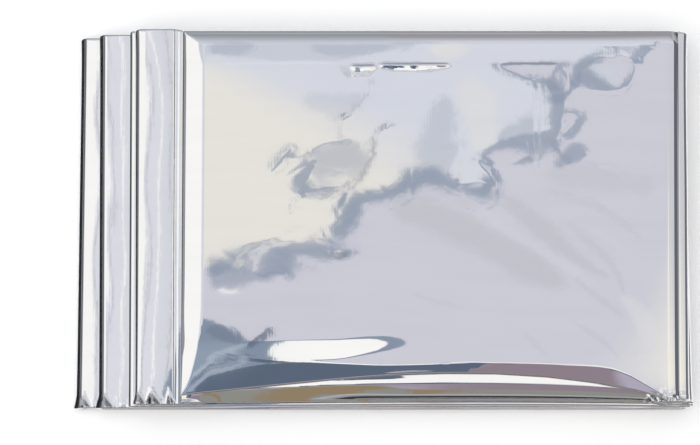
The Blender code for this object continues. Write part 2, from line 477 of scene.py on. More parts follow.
def lip_height(point, lip, wander):
    """A pinch of film: sharp at the back, falling away to the front, and pointed at both ends."""
    share, distance = bowed(point, lip.start, lip.end, 0)
    if not 0 < share < 1:
        return 0
    body = math.sin(math.pi * share) ** LIP_FULLNESS
    rise = lip.rise * body
    distance += wander * LIP_WANDER
    steeper = sum(
        pucker.strength * math.exp(-((point.x - pucker.x) / pucker.reach) ** 4) for pucker in PUCKERS)
    if distance > 0:
        return rise * (1 + steeper) * math.exp(-distance / LIP_SHARPNESS)
    up = clamp(1 + distance / (lip.fall * body))
    return rise * (up + steeper * max(0, up - PUCKER_START) / (1 - PUCKER_START))


print("lip at its middle in mm:", round(lip_height(Vector((7.0, 31.6)), LIPS[0], 0), 3))

# %% [markdown]
# The upper ply has tens of thousands of points and about fifty creases, facets and lips. To save
# time a point is asked only about what is near it, so the pad is divided into square cells
# and each of these knows its own relief.

# %% Which relief is near
NEAR = 5.0
RELIEF_CELL = 4.0


def reach_of(item):
    """The box in which a crease, facet or lip can be felt."""
    if hasattr(item, "place"):
        wide = FACET_REACH * max(item.length, item.width)
        return item.place[0] - wide, item.place[0] + wide, item.place[1] - wide, item.place[1] + wide
    xs = sorted((item.start[0], item.end[0]))
    ys = sorted((item.start[1], item.end[1]))
    return xs[0] - NEAR, xs[1] + NEAR, ys[0] - NEAR, ys[1] + NEAR


def sort_into_cells(items):
    """Which items can be felt in each square cell of the pad."""
    cells = {}
    for item in items:
        left, right, front, back = reach_of(item)
        for i in range(math.floor(left / RELIEF_CELL), math.floor(right / RELIEF_CELL) + 1):
            for j in range(math.floor(front / RELIEF_CELL), math.floor(back / RELIEF_CELL) + 1):
                cells.setdefault((i, j), []).append(item)
    return cells


RELIEF_CELLS = sort_into_cells(CREASES + FACETS + LIPS)
print("cells with relief:", len(RELIEF_CELLS))

# %% [markdown]
# Under the relief in the tables lies what every loose sheet has: long gentle waves, and a network
# of fine troughs between them. Noise gives both, at two scales, and they are strongest where
# the sheet was crumpled most.

# %% Relief of the upper ply
# the film is most crumpled along a line that rises to the back right
BUSY_LINE_Y = 1.5
BUSY_LINE_SLOPE = 0.42
BUSY_WIDTH = 16.0
CALM_SHARE = 0.25
Wave = namedtuple("Wave", "length width seed height")
LONG_WAVES = (
    Wave(length=17.0, width=13.0, seed=3.1, height=0.0100),
    Wave(length=7.5, width=6.5, seed=8.4, height=0.0030),
)
RIDGE_CELL = 11.0
RIDGE_STRETCH = 1.25
RIDGE_BEND = 3.0
RIDGE_BEND_LENGTH = 8.0
RIDGE_SEED = 1.7
RIDGE_WIDTH = 1.7
RIDGE_DEPTH = 0.0025
WANDER = 0.45
WANDER_LENGTH = 2.6
WANDER_SEED = 5.0
# behind this line the ply leans back a little, as it was folded there once
HINGE_LINE = 31.7
HINGE_SLOPE = 0.006


def busy_share(x, y):
    """1 where the film is crumpled, and less elsewhere."""
    off_line = y - (BUSY_LINE_Y + BUSY_LINE_SLOPE * x)
    return mix(CALM_SHARE, 1, math.exp(-(off_line / BUSY_WIDTH) ** 2))


def long_waves(x, y):
    """Gentle waves of the whole ply."""
    waves = 0
    for wave in LONG_WAVES:
        waves += wave.height * noise.noise(Vector((x / wave.length, y / wave.width, wave.seed)))
    return waves * busy_share(x, y)


def fine_ridges(x, y):
    """The network of fine troughs between the waves."""
    bend = RIDGE_BEND * noise.noise(Vector((x / RIDGE_BEND_LENGTH, y / RIDGE_BEND_LENGTH, RIDGE_SEED)))
    near, far = noise.voronoi(Vector((x + bend, y * RIDGE_STRETCH, 0)) / RIDGE_CELL)[0][:2]
    return -RIDGE_DEPTH * math.exp(-(far - near) * RIDGE_CELL / RIDGE_WIDTH) * busy_share(x, y)


def hinge_height(y):
    """The lean of the ply's back part."""
    return -HINGE_SLOPE * max(0, y - HINGE_LINE)


def top_relief(x, y):
    """Height of all relief on the upper ply."""
    point = Vector((x, y))
    wander = WANDER * noise.noise(Vector((x / WANDER_LENGTH, y / WANDER_LENGTH, WANDER_SEED)))
    height = long_waves(x, y) + fine_ridges(x, y) + hinge_height(y)
    for item in RELIEF_CELLS.get((math.floor(x / RELIEF_CELL), math.floor(y / RELIEF_CELL)), ()):
        if isinstance(item, Crease):
            height += crease_height(point, item, wander)
        elif isinstance(item, Facet):
            height += facet_height(point, item)
        else:
            height += lip_height(point, item, wander)
    return height


print("relief at the middle in mm:", round(top_relief(0, 0), 4))

# %% [markdown]
# ## One surface for the whole sheet
#
# Every point of the sheet has an address: a layer, a share along it, a share across it and an
# offset from the layer's middle, which tells the plies apart. One function turns an address into a
# place, so the bends between layers and the folds between plies join without a gap.
# The address starts with the layer's ends, which differ a little from layer to layer.

# %% Where each layer's flat run begins and ends
BUNDLE_HALF = 0.5
OUTER_BEND = LAYER_PITCH / 2 + BUNDLE_HALF
TAPER_REACH = 0.3
TAPER_TO = 0.5


def reach_at(fold, across):
    """X of a fold's outside or of a free end."""
    return mix(fold.front, fold.back, across)


def left_stretch(fold, across):
    """How far a left bend reaches out. The top one tapers to the front corner."""
    stretch = LEFT_FOLDS[fold].stretch + LEFT_FOLDS[fold].flare * across
    if fold == len(LEFT_FOLDS) - 1:
        stretch *= mix(TAPER_TO, 1, clamp(across / TAPER_REACH))
    return stretch


def run_left(layer, across):
    """X where the layer's flat run begins."""
    fold = layer // 2
    return reach_at(LEFT_FOLDS[fold], across) + left_stretch(fold, across) * OUTER_BEND


def run_right(layer, across):
    """X where the layer's flat run ends."""
    if layer == 0:
        return reach_at(LOWER_FREE_END, across)
    if layer == TOP_LAYER:
        return reach_at(UPPER_FREE_END, across)
    fold = RIGHT_FOLDS[(layer - 1) // 2]
    return reach_at(fold, across) - fold.stretch * OUTER_BEND


print("the top layer's run in mm:", [round(end(TOP_LAYER, 0.5), 1) for end in (run_left, run_right)])

# %% [markdown]
# ## Strips at the left
#
# At the left each fold leaves a strip of the layer below in sight. The strip rises to the right
# and sways a little, and on the one under the top fold two ply edges show as small steps.

# %% Strips at the left
STRIP_LENGTH = 10.0
STRIP_SWAY = 0.2
STRIP_SWAY_LENGTH = 16.0
STRIP_SWAY_SEED = 2.0
STRIP_BOW = 0.4
RIPPLE = 0.012
RIPPLE_LENGTH = 4.0
RIPPLE_WIDTH = 12.0
RIPPLE_ONSET = 2.0
# back, front: x of a ply's edge, which shows as a small step on the strip under the top fold
Step = namedtuple("Step", "back front rise")
STRIP_STEPS = (
    Step(back=-44.0, front=-43.5, rise=0.17),
    Step(back=-43.1, front=-42.7, rise=0.06),
)
STEP_WIDTH = 0.18


def strip_height(layer, x, y, inside):
    """Rise of the strip that shows at the left, with its soft waves and the ply edges on the last one."""
    shown = min(inside, STRIP_LENGTH)
    sway = noise.noise(Vector((layer, y / STRIP_SWAY_LENGTH, STRIP_SWAY_SEED))) + 0.5
    bow = 1 + STRIP_BOW - 2 * STRIP_BOW * shown / STRIP_LENGTH
    height = LAYERS[layer].tilt * mix(1 - STRIP_SWAY, 1 + STRIP_SWAY, sway) * shown * bow
    ripple = noise.noise(Vector((x / RIPPLE_LENGTH, y / RIPPLE_WIDTH, layer)))
    height += RIPPLE * ripple * smooth(inside / RIPPLE_ONSET)
    if layer == TOP_LAYER - 2:
        across = clamp(y / PAD_HALF_WIDTH / 2 + 0.5)
        for step in STRIP_STEPS:
            height += step.rise * smooth((x - mix(step.front, step.back, across)) / STEP_WIDTH + 0.5)
    return height


print("strip's rise at its middle in mm:", round(strip_height(1, -58, 0, 3), 3))

# %% [markdown]
# ## Crumpled corners
#
# Where a pad of film is pressed at a corner it has no room to bend both ways, so it crumples. Tucks
# stand up there, which are pleats that are high at the edge and run out to a point, and small sharp
# dents lie between them.

# %% Tucks and crumples at the front
# a pleat that stands up at the front edge of a layer, pointed towards the back
Tuck = namedtuple("Tuck", "layer x half_width length height")
TUCKS = (
    Tuck(layer=1, x=-62.7, half_width=1.1, length=2.4, height=1.05),
    Tuck(layer=3, x=-58.1, half_width=1.5, length=2.8, height=1.35),
    Tuck(layer=7, x=-50.6, half_width=1.3, length=2.8, height=1.20),
    Tuck(layer=7, x=-47.7, half_width=1.5, length=2.6, height=1.30),
    Tuck(layer=7, x=-44.0, half_width=0.9, length=2.2, height=0.75),
    Tuck(layer=8, x=-40.8, half_width=0.7, length=1.5, height=1.6),
    Tuck(layer=8, x=56.2, half_width=1.2, length=1.6, height=1.7),
    Tuck(layer=8, x=58.3, half_width=0.9, length=1.4, height=1.3),
    Tuck(layer=8, x=61.4, half_width=1.0, length=1.6, height=1.6),
)
TUCK_LEAN = 0.5
TUCK_TIP = 0.1
# the crumples: at the front right corner, and at the front ends of the strips
CORNER_CRUMPLE = 0.55
CORNER_X, CORNER_LENGTH = 60.0, 4.0
CORNER_Y, CORNER_WIDTH = -39.8, 1.5
STRIPS_CRUMPLE = 0.22
STRIPS_RIGHT, STRIPS_FADE = -42.5, 2.0
STRIPS_Y, STRIPS_WIDTH = -40.5, 1.3
CRUMPLE_LENGTH, CRUMPLE_WIDTH, CRUMPLE_SEED = 1.0, 0.8, 0.3
CRUMPLE_MIDDLE = 0.35


def tuck_height(layer, x, inside_front):
    """Rise of the pleats at a layer's front edge."""
    height = 0
    for tuck in TUCKS:
        left = 1 - max(0, inside_front) / tuck.length
        if tuck.layer == layer and left > 0:
            off_ridge = abs(x - tuck.x + TUCK_LEAN * (1 - left))
            height += tuck.height * left * clamp(1 - off_ridge / (tuck.half_width * left + TUCK_TIP))
    return height


def crumple_height(x, y):
    """Small sharp crumples at the front right corner and at the front ends of the strips."""
    at_corner = CORNER_CRUMPLE * math.exp(
        -((x - CORNER_X) / CORNER_LENGTH) ** 2 - ((y - CORNER_Y) / CORNER_WIDTH) ** 2)
    at_strips = STRIPS_CRUMPLE * smooth((STRIPS_RIGHT - x) / STRIPS_FADE)
    at_strips *= math.exp(-((y - STRIPS_Y) / STRIPS_WIDTH) ** 2)
    near = noise.voronoi(Vector((x / CRUMPLE_LENGTH, y / CRUMPLE_WIDTH, CRUMPLE_SEED)))[0][0]
    return (at_corner + at_strips) * (near - CRUMPLE_MIDDLE)


print("tucks:", len(TUCKS))

# %% [markdown]
# ## From an address to a place
#
# The height of a layer adds up its crown, its crumples and what it alone has: the top layer's
# pillow form and relief, the second layer's droop, or a strip's rise. A bend is worked out from
# the two ends that it joins, so it always meets them.

# %% Plies of the bundle
PLY_OFFSETS = (-0.50, -0.17, 0.17, 0.50)
EDGE_OFFSETS = (-0.62, -0.06, 0.06, 0.62)
EDGE_FLARE = 0.04


def ply_offset(ply, across):
    """A ply's distance from the middle of the bundle, which grows where the plies meet in folds."""
    edge = math.exp(-min(across, 1 - across) / EDGE_FLARE)
    return mix(PLY_OFFSETS[ply], EDGE_OFFSETS[ply], edge)


print("offsets of the plies in mm:", PLY_OFFSETS)

# %% Height of each layer
RIM_FADE = 1.6


def top_height(x, y, inside_left, inside_front, offset):
    """Rise of the top layer: its pillow form and, on its upper plies, the relief."""
    inside_right = mix(UPPER_FREE_END.front, UPPER_FREE_END.back, clamp(y / PAD_HALF_WIDTH / 2 + 0.5)) - x
    inside_back = back_edge(TOP_LAYER, x) - y
    right_drop = RIGHT_DROP if offset > BUNDLE_HALF / 2 else LIFT
    height = lift_height(inside_left, inside_right, inside_front, inside_back, x, y, right_drop)
    rim = smooth(min(inside_left, inside_front, inside_back) / RIM_FADE)
    return height + top_relief(x, y) * rim


def form_height(x, y):
    """Rise of the top layer's smooth form, without its fine relief."""
    front, back = front_edge(TOP_LAYER, x), back_edge(TOP_LAYER, x)
    across = clamp((y - front) / (back - front))
    inside_left, inside_right = x - run_left(TOP_LAYER, across), run_right(TOP_LAYER, across) - x
    lift = lift_height(inside_left, inside_right, y - front, back - y, x, y, RIGHT_DROP)
    crown = LAYERS[TOP_LAYER].crown * crown_share(x, y)
    return crown + long_waves(x, y) + hinge_height(y) + ply_offset(len(PLY_OFFSETS) - 1, across) + lift


def layer_height(layer, x, y, across, offset):
    """Z of a layer's middle."""
    form = LAYERS[layer]
    inside_left = x - run_left(layer, across)
    inside_front = y - front_edge(layer, x)
    height = FIRST_HEIGHT + layer * LAYER_PITCH + form.crown * crown_share(x, y)
    if layer:
        height += crumple_height(x, y)
    if layer == TOP_LAYER:
        return height + top_height(x, y, inside_left, inside_front, offset)
    if layer == TOP_LAYER - 1:
        return height - droop_height(x, inside_front) + tuck_height(layer, x, inside_front)
    if form.tilt:
        height += strip_height(layer, x, y, max(0, inside_left)) + tuck_height(layer, x, inside_front)
    return height


print("height of the top layer's middle in mm:", round(layer_height(TOP_LAYER, 0, 0, 0.5, 0), 2))

# %% Places on layers and bends
def layer_place(layer, along, across, offset, beyond):
    """A place on a layer. offset is in mm from its middle; beyond is in mm past its edge."""
    x = mix(run_left(layer, across), run_right(layer, across), along)
    y = mix(front_edge(layer, x), back_edge(layer, x), across)
    upward = offset if at_left_end(layer) else -offset
    z = layer_height(layer, x, y, across, upward) + upward
    return Vector((x, y + beyond, z))


def bend_place(layer, turn, across, offset, beyond):
    """A place on the bend from a layer up to the next; turn runs from 0 to 1."""
    left = at_left_end(layer)
    along = 0 if left else 1
    lower = layer_place(layer, along, across, offset, beyond)
    upper = layer_place(layer + 1, along, across, offset, beyond)
    angle = math.pi * (turn - 0.5)
    fold = (LEFT_FOLDS if left else RIGHT_FOLDS)[layer // 2]
    stretch = -left_stretch(layer // 2, across) if left else fold.stretch
    radius = (upper.z - lower.z) / 2
    up = math.copysign(abs(math.sin(angle)) ** fold.pinch, angle)
    place = lower.lerp(upper, (1 + up) / 2)
    place.x = mix(lower.x, upper.x, turn) + stretch * radius * math.cos(angle) ** fold.pinch
    return place


print("end of the first bend in mm:", [round(value, 1) for value in bend_place(0, 0.5, 0.5, 0, 0)])

# %% [markdown]
# ## Columns and rows of the sheet
#
# A column is a place along the band and a row is a place across the unfolded film. Both are
# close together where the film bends or shows, and far apart inside the pad.

# %% Columns: places along the folded band
Column = namedtuple("Column", "layer along turn")
BEND_STEPS = 11


def spread(start, end, count):
    """Evenly spaced numbers from start to end."""
    return [mix(start, end, i / count) for i in range(count + 1)]


def join(*parts):
    """One rising list from lists whose ends meet."""
    shares = sorted({round(share, 6) for part in parts for share in part})
    return [share for i, share in enumerate(shares) if i == 0 or share - shares[i - 1] > 1e-4]


def run_columns(layer, shares):
    """Columns on one layer in the order in which the band runs through them."""
    return [Column(layer, share, None) for share in sorted(shares, reverse=at_left_end(layer))]


def bend_columns(layer):
    """Columns on the bend that follows a layer, without its two ends."""
    return [Column(layer, None, i / BEND_STEPS) for i in range(1, BEND_STEPS)]


INNER_ALONG = join(spread(0, 0.12, 6), spread(0.12, 0.94, 8), spread(0.94, 1, 7))
STRIP_ALONG = join(spread(0, 0.05, 20), spread(0.05, 0.1, 8), spread(0.1, 0.94, 8), spread(0.94, 1, 7))
STEP_ALONG = join(STRIP_ALONG, spread(0.052, 0.074, 18))
FRONT_ALONG = join(spread(0, 0.9, 66), spread(0.9, 1, 20))


def along_shares(layer):
    """Where a layer of the lower plies has columns."""
    if layer == TOP_LAYER - 1:
        return FRONT_ALONG
    if layer == TOP_LAYER - 2:
        return STEP_ALONG
    return INNER_ALONG if at_left_end(layer) or layer == TOP_LAYER else STRIP_ALONG


print("columns on each layer:", [len(along_shares(layer)) for layer in range(len(LAYERS))])

# %% [markdown]
# Across the film the rows run over ply A from the back, round the front fold, back over ply B, and so
# on to ply D. At the two free edges the film wraps the bundle a little, and near every fold the rows
# are a few tenths of a millimetre apart, so that it bends in an arc.

# %% Rows: places across the unfolded film
Row = namedtuple("Row", "across offset beyond")
FOLD_STEPS = 8
SMALLEST_FOLD = 0.15
WRAP = 0.55
WRAP_STEPS = 4
WRAP_END = 0.12
RUN_WIDTH = 78.0


def ply_rows(ply, shares):
    """Rows on one ply, from the back on plies A and C and from the front on B and D."""
    return [Row(share, ply_offset(ply, share), 0) for share in sorted(shares, reverse=ply % 2 == 0)]


def fold_rows(ply):
    """Rows on the fold from a ply to the next, at the front after A and C and at the back after B."""
    at_front = ply % 2 == 0
    first, last = EDGE_OFFSETS[ply], EDGE_OFFSETS[ply + 1]
    radius = max(SMALLEST_FOLD, abs(last - first) / 2)
    rows = []
    for i in range(1, FOLD_STEPS):
        angle = math.pi * (i / FOLD_STEPS - 0.5)
        out = radius * math.cos(angle) * (-1 if at_front else 1)
        rows.append(Row(0 if at_front else 1, mix(first, last, (1 + math.sin(angle)) / 2), out))
    return rows


def wrap_rows(ply):
    """Rows of a free edge that wraps the back of the bundle, from the ply outwards."""
    start = EDGE_OFFSETS[ply]
    rows = []
    for i in range(1, WRAP_STEPS + 1):
        angle = math.pi / 2 * i / WRAP_STEPS
        rows.append(Row(1, mix(start, start * WRAP_END, 1 - math.cos(angle)), WRAP * math.sin(angle)))
    return rows


EDGE_SHARES = [share / RUN_WIDTH for share in (0, 0.3, 0.7, 1.2, 1.8, 2.6, 3.6, 4.8, 6.5)]
MIRRORED_EDGE = [1 - share for share in EDGE_SHARES]
HIDDEN_ACROSS = join(EDGE_SHARES, spread(0.1, 0.9, 5), MIRRORED_EDGE)
SHOWN_ACROSS = join(EDGE_SHARES, spread(0.1, 0.9, 22), MIRRORED_EDGE)
FRONT_ACROSS = join(spread(0, 7 / RUN_WIDTH, 34), SHOWN_ACROSS)
# for plies A to D
PAD_SHARES = (SHOWN_ACROSS, HIDDEN_ACROSS, HIDDEN_ACROSS, FRONT_ACROSS)


def all_rows():
    """Every row of the film from the free edge of ply A to the free edge of ply D."""
    rows = wrap_rows(0)[::-1] + ply_rows(0, PAD_SHARES[0])
    for ply in (1, 2, 3):
        rows += fold_rows(ply - 1) + ply_rows(ply, PAD_SHARES[ply])
    return rows + wrap_rows(3)


print("rows across the film:", len(all_rows()))

# %% [markdown]
# ## Weaving columns and rows into a mesh
#
# A plain grid is made with one vertex for each column and row, and each vertex then moves to its
# place in the pad. The film stays single, as a real sheet of a few thousandths of a millimetre is.

# %% Film from columns and rows
def place(column, row):
    """Where a point of the film lies in the pad, in mm."""
    if column.turn is None:
        return layer_place(column.layer, column.along, row.across, row.offset, row.beyond)
    return bend_place(column.layer, column.turn, row.across, row.offset, row.beyond)


def film_mesh(name, columns, rows, keep):
    """A grid of film, without the faces that keep() refuses."""
    film = bmesh.new()
    bmesh.ops.create_grid(film, x_segments=len(columns) - 1, y_segments=len(rows) - 1, size=1)
    index = {}
    for vertex in film.verts:
        i = round((vertex.co.x + 1) / 2 * (len(columns) - 1))
        j = round((vertex.co.y + 1) / 2 * (len(rows) - 1))
        index[vertex] = (i, j)
        vertex.co = place(columns[i], rows[j]) * MM
    hidden = [face for face in film.faces if not keep(*map(max, zip(*(index[v] for v in face.verts))))]
    bmesh.ops.delete(film, geom=hidden, context="FACES")
    for face in film.faces:
        face.smooth = True
    mesh = bpy.data.meshes.new(name)
    film.to_mesh(mesh)
    film.free()
    piece = bpy.data.objects.new(name, mesh)
    bpy.context.scene.collection.objects.link(piece)
    print(name, "has", len(mesh.polygons) * 2, "triangles")
    return piece


# %% [markdown]
# ## The lower plies
#
# All of the sheet apart from the patch on top is one mesh. It is coarse where it lies hidden between
# other plies, and fine at the strips, at the folds and along the front, where it shows.

# %% The lower plies
def pad_columns():
    """Columns of the whole band, from its lower free end to its upper one."""
    columns = []
    for layer in range(len(LAYERS)):
        columns += run_columns(layer, along_shares(layer))
        if layer < TOP_LAYER:
            columns += bend_columns(layer)
    return columns


# the patch that the upper ply takes over starts on the layer below, before the last bend, and
# reaches over the front fold onto ply B
BELOW_SHARE = 0.05
ROWS_ON_PLY_B = 4
columns = pad_columns()
first_top_column = next(
    i for i, spot in enumerate(columns) if spot.layer == TOP_LAYER - 1 and (spot.along or 0) < BELOW_SHARE)
last_top_row = len(wrap_rows(0)) + len(PAD_SHARES[0]) + FOLD_STEPS - 1 + ROWS_ON_PLY_B


def in_lower_plies(column, row):
    """False on the patch that the upper ply takes over."""
    return column <= first_top_column or row > last_top_row


lower = film_mesh("foil_lower_plies", columns, all_rows(), in_lower_plies)

# %% [markdown]
# ## The upper ply
#
# The upper ply of the top layer carries all the relief, so it is a piece of its own with rows and
# columns about a third of a millimetre apart where the film is crumpled.

# %% The upper ply
RUN_LENGTH = 103.0
OVERLAP = 0.02
TOP_ALONG = join(
    spread(0, 4 / RUN_LENGTH, 18),
    spread(4 / RUN_LENGTH, 14 / RUN_LENGTH, 20),
    spread(14 / RUN_LENGTH, 101.4 / RUN_LENGTH, 262),
    spread(101.4 / RUN_LENGTH, 1, 12),
)
TOP_ACROSS = join(
    spread(0, 10 / RUN_WIDTH, 46),
    spread(10 / RUN_WIDTH, 40 / RUN_WIDTH, 56),
    spread(40 / RUN_WIDTH, 74 / RUN_WIDTH, 108),
    spread(74 / RUN_WIDTH, 1, 18),
)


def top_ply_columns():
    """The end of the layer below, the bend at the left, and the top layer."""
    layer = TOP_LAYER - 1
    overlap = [share for share in FRONT_ALONG if share < BELOW_SHARE + OVERLAP]
    return run_columns(layer, overlap) + bend_columns(layer) + run_columns(TOP_LAYER, TOP_ALONG)


top_rows = wrap_rows(0)[::-1] + ply_rows(0, TOP_ACROSS) + fold_rows(0) + ply_rows(1, EDGE_SHARES)
top = film_mesh("foil_top_ply", top_ply_columns(), top_rows, lambda i, j: True)

# %% [markdown]
# ## Silver film
#
# The film is plastic with a skin of aluminium, so it is metallic all over, bright and almost
# smooth. Three effects make it film and not polished steel: a fine ribbing from the roll on which
# it was wound, a crinkle from handling, and hazy rub marks that are a little rougher and duller.
# Each effect is a node group, placed with its own values on the upper ply and on the folds.

# %% Helpers for node groups
def new_group(name, inputs, outputs):
    """An empty shader group with named number sockets."""
    group = bpy.data.node_groups.new(name, "ShaderNodeTree")
    for label, value in inputs:
        socket = group.interface.new_socket(name=label, in_out="INPUT", socket_type="NodeSocketFloat")
        socket.default_value = value
    for label in outputs:
        group.interface.new_socket(name=label, in_out="OUTPUT", socket_type="NodeSocketFloat")
    return group, group.nodes.new("NodeGroupInput"), group.nodes.new("NodeGroupOutput")


def maths(tree, operation, first, second):
    """A Math node from two sockets or numbers."""
    node = tree.nodes.new("ShaderNodeMath")
    node.operation = operation
    for socket, value in zip(node.inputs, (first, second)):
        if isinstance(value, (int, float)):
            socket.default_value = value
        else:
            tree.links.new(value, socket)
    return node.outputs[0]


def place_on_film(tree, scale, turn=0.0):
    """Object coordinates, stretched and turned about the upright axis."""
    coordinates = tree.nodes.new("ShaderNodeTexCoord")
    mapping = tree.nodes.new("ShaderNodeMapping")
    mapping.inputs["Scale"].default_value = scale
    mapping.inputs["Rotation"].default_value = (0, 0, turn)
    tree.links.new(coordinates.outputs["Object"], mapping.inputs["Vector"])
    return mapping.outputs[0]


def noise_on_film(tree, vector, scale, detail=2.0, roughness=0.5):
    """A noise texture's factor."""
    node = tree.nodes.new("ShaderNodeTexNoise")
    node.inputs["Scale"].default_value = scale
    node.inputs["Detail"].default_value = detail
    node.inputs["Roughness"].default_value = roughness
    tree.links.new(vector, node.inputs["Vector"])
    return node.outputs[0]


# %% [markdown]
# Film is wound on a roll as it is made, and the roll leaves fine ribs across the band. They show
# only in patches, where the film was wound most tightly.

# %% Group: ribbing from the roll
def ribbing_group():
    """Fine ribs across the band, strong in some places and gone in others."""
    group, given, result = new_group("roll_ribbing", (("Strength", 1.0),), ("Height",))
    waves = group.nodes.new("ShaderNodeTexWave")
    waves.bands_direction = "X"
    waves.inputs["Scale"].default_value = 520
    waves.inputs["Distortion"].default_value = 1.6
    waves.inputs["Detail"].default_value = 1.5
    waves.inputs["Detail Scale"].default_value = 0.4
    group.links.new(place_on_film(group, (1, 0.12, 0.6)), waves.inputs["Vector"])
    patches = noise_on_film(group, place_on_film(group, (1, 1, 1)), 70)
    shown = maths(group, "MULTIPLY", waves.outputs["Fac"], maths(group, "POWER", patches, 2))
    group.links.new(maths(group, "MULTIPLY", shown, given.outputs["Strength"]), result.inputs["Height"])
    return group


# %% [markdown]
# A sheet that has been folded and handled has small sharp-edged buckles. Cells with soft edges
# give the buckles, and a finer noise lies over them.

# %% Group: crinkle from handling
def crinkle_group():
    """Small sharp-edged buckles with finer ones on them."""
    group, given, result = new_group("film_crinkle", (("Scale", 1.0), ("Strength", 1.0)), ("Height",))
    spot = place_on_film(group, (1, 1, 1))
    cells = group.nodes.new("ShaderNodeTexVoronoi")
    cells.feature = "DISTANCE_TO_EDGE"
    group.links.new(spot, cells.inputs["Vector"])
    group.links.new(maths(group, "MULTIPLY", given.outputs["Scale"], 260), cells.inputs["Scale"])
    edges = maths(group, "MINIMUM", cells.outputs["Distance"], 0.22)
    soft = noise_on_film(group, spot, 420)
    both = maths(group, "ADD", maths(group, "MULTIPLY", edges, 1.2), soft)
    group.links.new(maths(group, "MULTIPLY", both, given.outputs["Strength"]), result.inputs["Height"])
    return group


# %% [markdown]
# Plies that slide over each other haze the metal skin. The streaks lie the way the film was pulled,
# and the round smudges are where it was held.

# %% Group: rub marks
def rub_group():
    """Long hazy streaks from rubbing against other plies, and round smudges."""
    group, given, result = new_group("rub_marks", (("Streaks", 1.0), ("Smudges", 1.0)), ("Mask",))
    streaks = noise_on_film(group, place_on_film(group, (1, 7, 1), math.radians(28)), 42, 3.0)
    smudges = noise_on_film(group, place_on_film(group, (1, 1, 1)), 55, 3.0)
    first = maths(group, "MULTIPLY", maths(group, "POWER", streaks, 2), given.outputs["Streaks"])
    second = maths(group, "MULTIPLY", maths(group, "POWER", smudges, 3), given.outputs["Smudges"])
    group.links.new(maths(group, "ADD", first, second), result.inputs["Mask"])
    return group


RIBBING, CRINKLE, RUBS = ribbing_group(), crinkle_group(), rub_group()
print("groups:", [group.name for group in (RIBBING, CRINKLE, RUBS)])

# %% [markdown]
# The same three groups serve both places. The upper ply is the smoothest, while the folds were
# pressed and pinched, so they crinkle more.

# %% Materials
Foil = namedtuple("Foil", "name bright dull smooth rough ribbing crinkle crinkle_scale streaks")
FOILS = (
    Foil("silver_foil_upper", (0.90, 0.90, 0.905), (0.84, 0.845, 0.86), 0.020, 0.042, 0.14, 1.0, 1.0, 1.0),
    Foil("silver_foil_folds", (0.89, 0.89, 0.895), (0.82, 0.825, 0.84), 0.030, 0.070, 0.5, 2.2, 1.3, 0.6),
)
RELIEF_DEPTH = 1.2e-6


def place_group(tree, group, **values):
    """A group node with its own values."""
    node = tree.nodes.new("ShaderNodeGroup")
    node.node_tree = group
    for label, value in values.items():
        node.inputs[label].default_value = value
    return node.outputs[0]


def map_range(tree, factor, low, high):
    """A number that runs from low to high with a factor."""
    node = tree.nodes.new("ShaderNodeMapRange")
    node.inputs["To Min"].default_value = low
    node.inputs["To Max"].default_value = high
    tree.links.new(factor, node.inputs["Value"])
    return node.outputs[0]


def make_foil(foil):
    """Metal film with ribs, crinkles and rub marks."""
    material = bpy.data.materials.new(foil.name)
    material.use_nodes = True
    tree = material.node_tree
    shader = tree.nodes["Principled BSDF"]
    shader.inputs["Metallic"].default_value = 1.0
    marks = place_group(tree, RUBS, Streaks=foil.streaks, Smudges=0.5)
    tone = tree.nodes.new("ShaderNodeMix")
    tone.data_type = "RGBA"
    tone.inputs["A"].default_value = (*foil.bright, 1)
    tone.inputs["B"].default_value = (*foil.dull, 1)
    tree.links.new(marks, tone.inputs["Factor"])
    tree.links.new(tone.outputs["Result"], shader.inputs["Base Color"])
    tree.links.new(map_range(tree, marks, foil.smooth, foil.rough), shader.inputs["Roughness"])
    ribs = place_group(tree, RIBBING, Strength=foil.ribbing)
    creases = place_group(tree, CRINKLE, Scale=foil.crinkle_scale, Strength=foil.crinkle)
    bump = tree.nodes.new("ShaderNodeBump")
    bump.inputs["Distance"].default_value = RELIEF_DEPTH
    tree.links.new(maths(tree, "ADD", ribs, creases), bump.inputs["Height"])
    tree.links.new(bump.outputs["Normal"], shader.inputs["Normal"])
    return material


upper_foil, folds_foil = map(make_foil, FOILS)
top.data.materials.append(upper_foil)
lower.data.materials.append(folds_foil)
for piece in (lower, top):
    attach(piece, "root")
    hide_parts("foil_blanket")
print("materials:", [foil.name for foil in FOILS])

# %% [markdown]
# ## The sheet's flat size
#
# Laid out flat, the modelled sheet is four plies wide and ten layers long, about 0.32 by 1.2 metres.
# The lower plies are all of it apart from the patch that the upper ply takes over, which is about
# 0.08 by 0.11 metres.

# %% Flat sizes
print("declared as sheets:", lower.name, top.name)

# %% [markdown]
# ## The floor
#
# The pad lies on a plain pale floor. The floor is staging: it isn't part of the blanket.

# %% Floor
scene = bpy.context.scene
scene.view_settings.view_transform = "Standard"
bpy.ops.mesh.primitive_plane_add(size=6)
floor = bpy.context.object
floor.name = "floor"
paint = bpy.data.materials.new("floor_paint")
paint.use_nodes = True
floor_shader = paint.node_tree.nodes["Principled BSDF"]
floor_shader.inputs["Base Color"].default_value = (0.94, 0.94, 0.935, 1)
floor_shader.inputs["Roughness"].default_value = 0.9
floor.data.materials.append(paint)
print("floor:", floor.name)

# %% [markdown]
# ## What a mirror shows
#
# Film shows its surroundings and little else, so the light is a set of large glowing cards on one
# plane above the pad, the way paper is hung round polished silver. A mirror's rule tells which
# point of that plane a place on the pad shows: the line from the eye turns about the surface's
# normal. The smooth form of the top layer is enough for it, so the fine relief then bends and
# breaks the edges of the cards as real film does.

# %% From a place on the pad to the point that it shows
CARD_HEIGHT = 1.2
PLY_TOP = FIRST_HEIGHT + TOP_LAYER * LAYER_PITCH + BUNDLE_HALF
SLOPE_STEP = 0.15


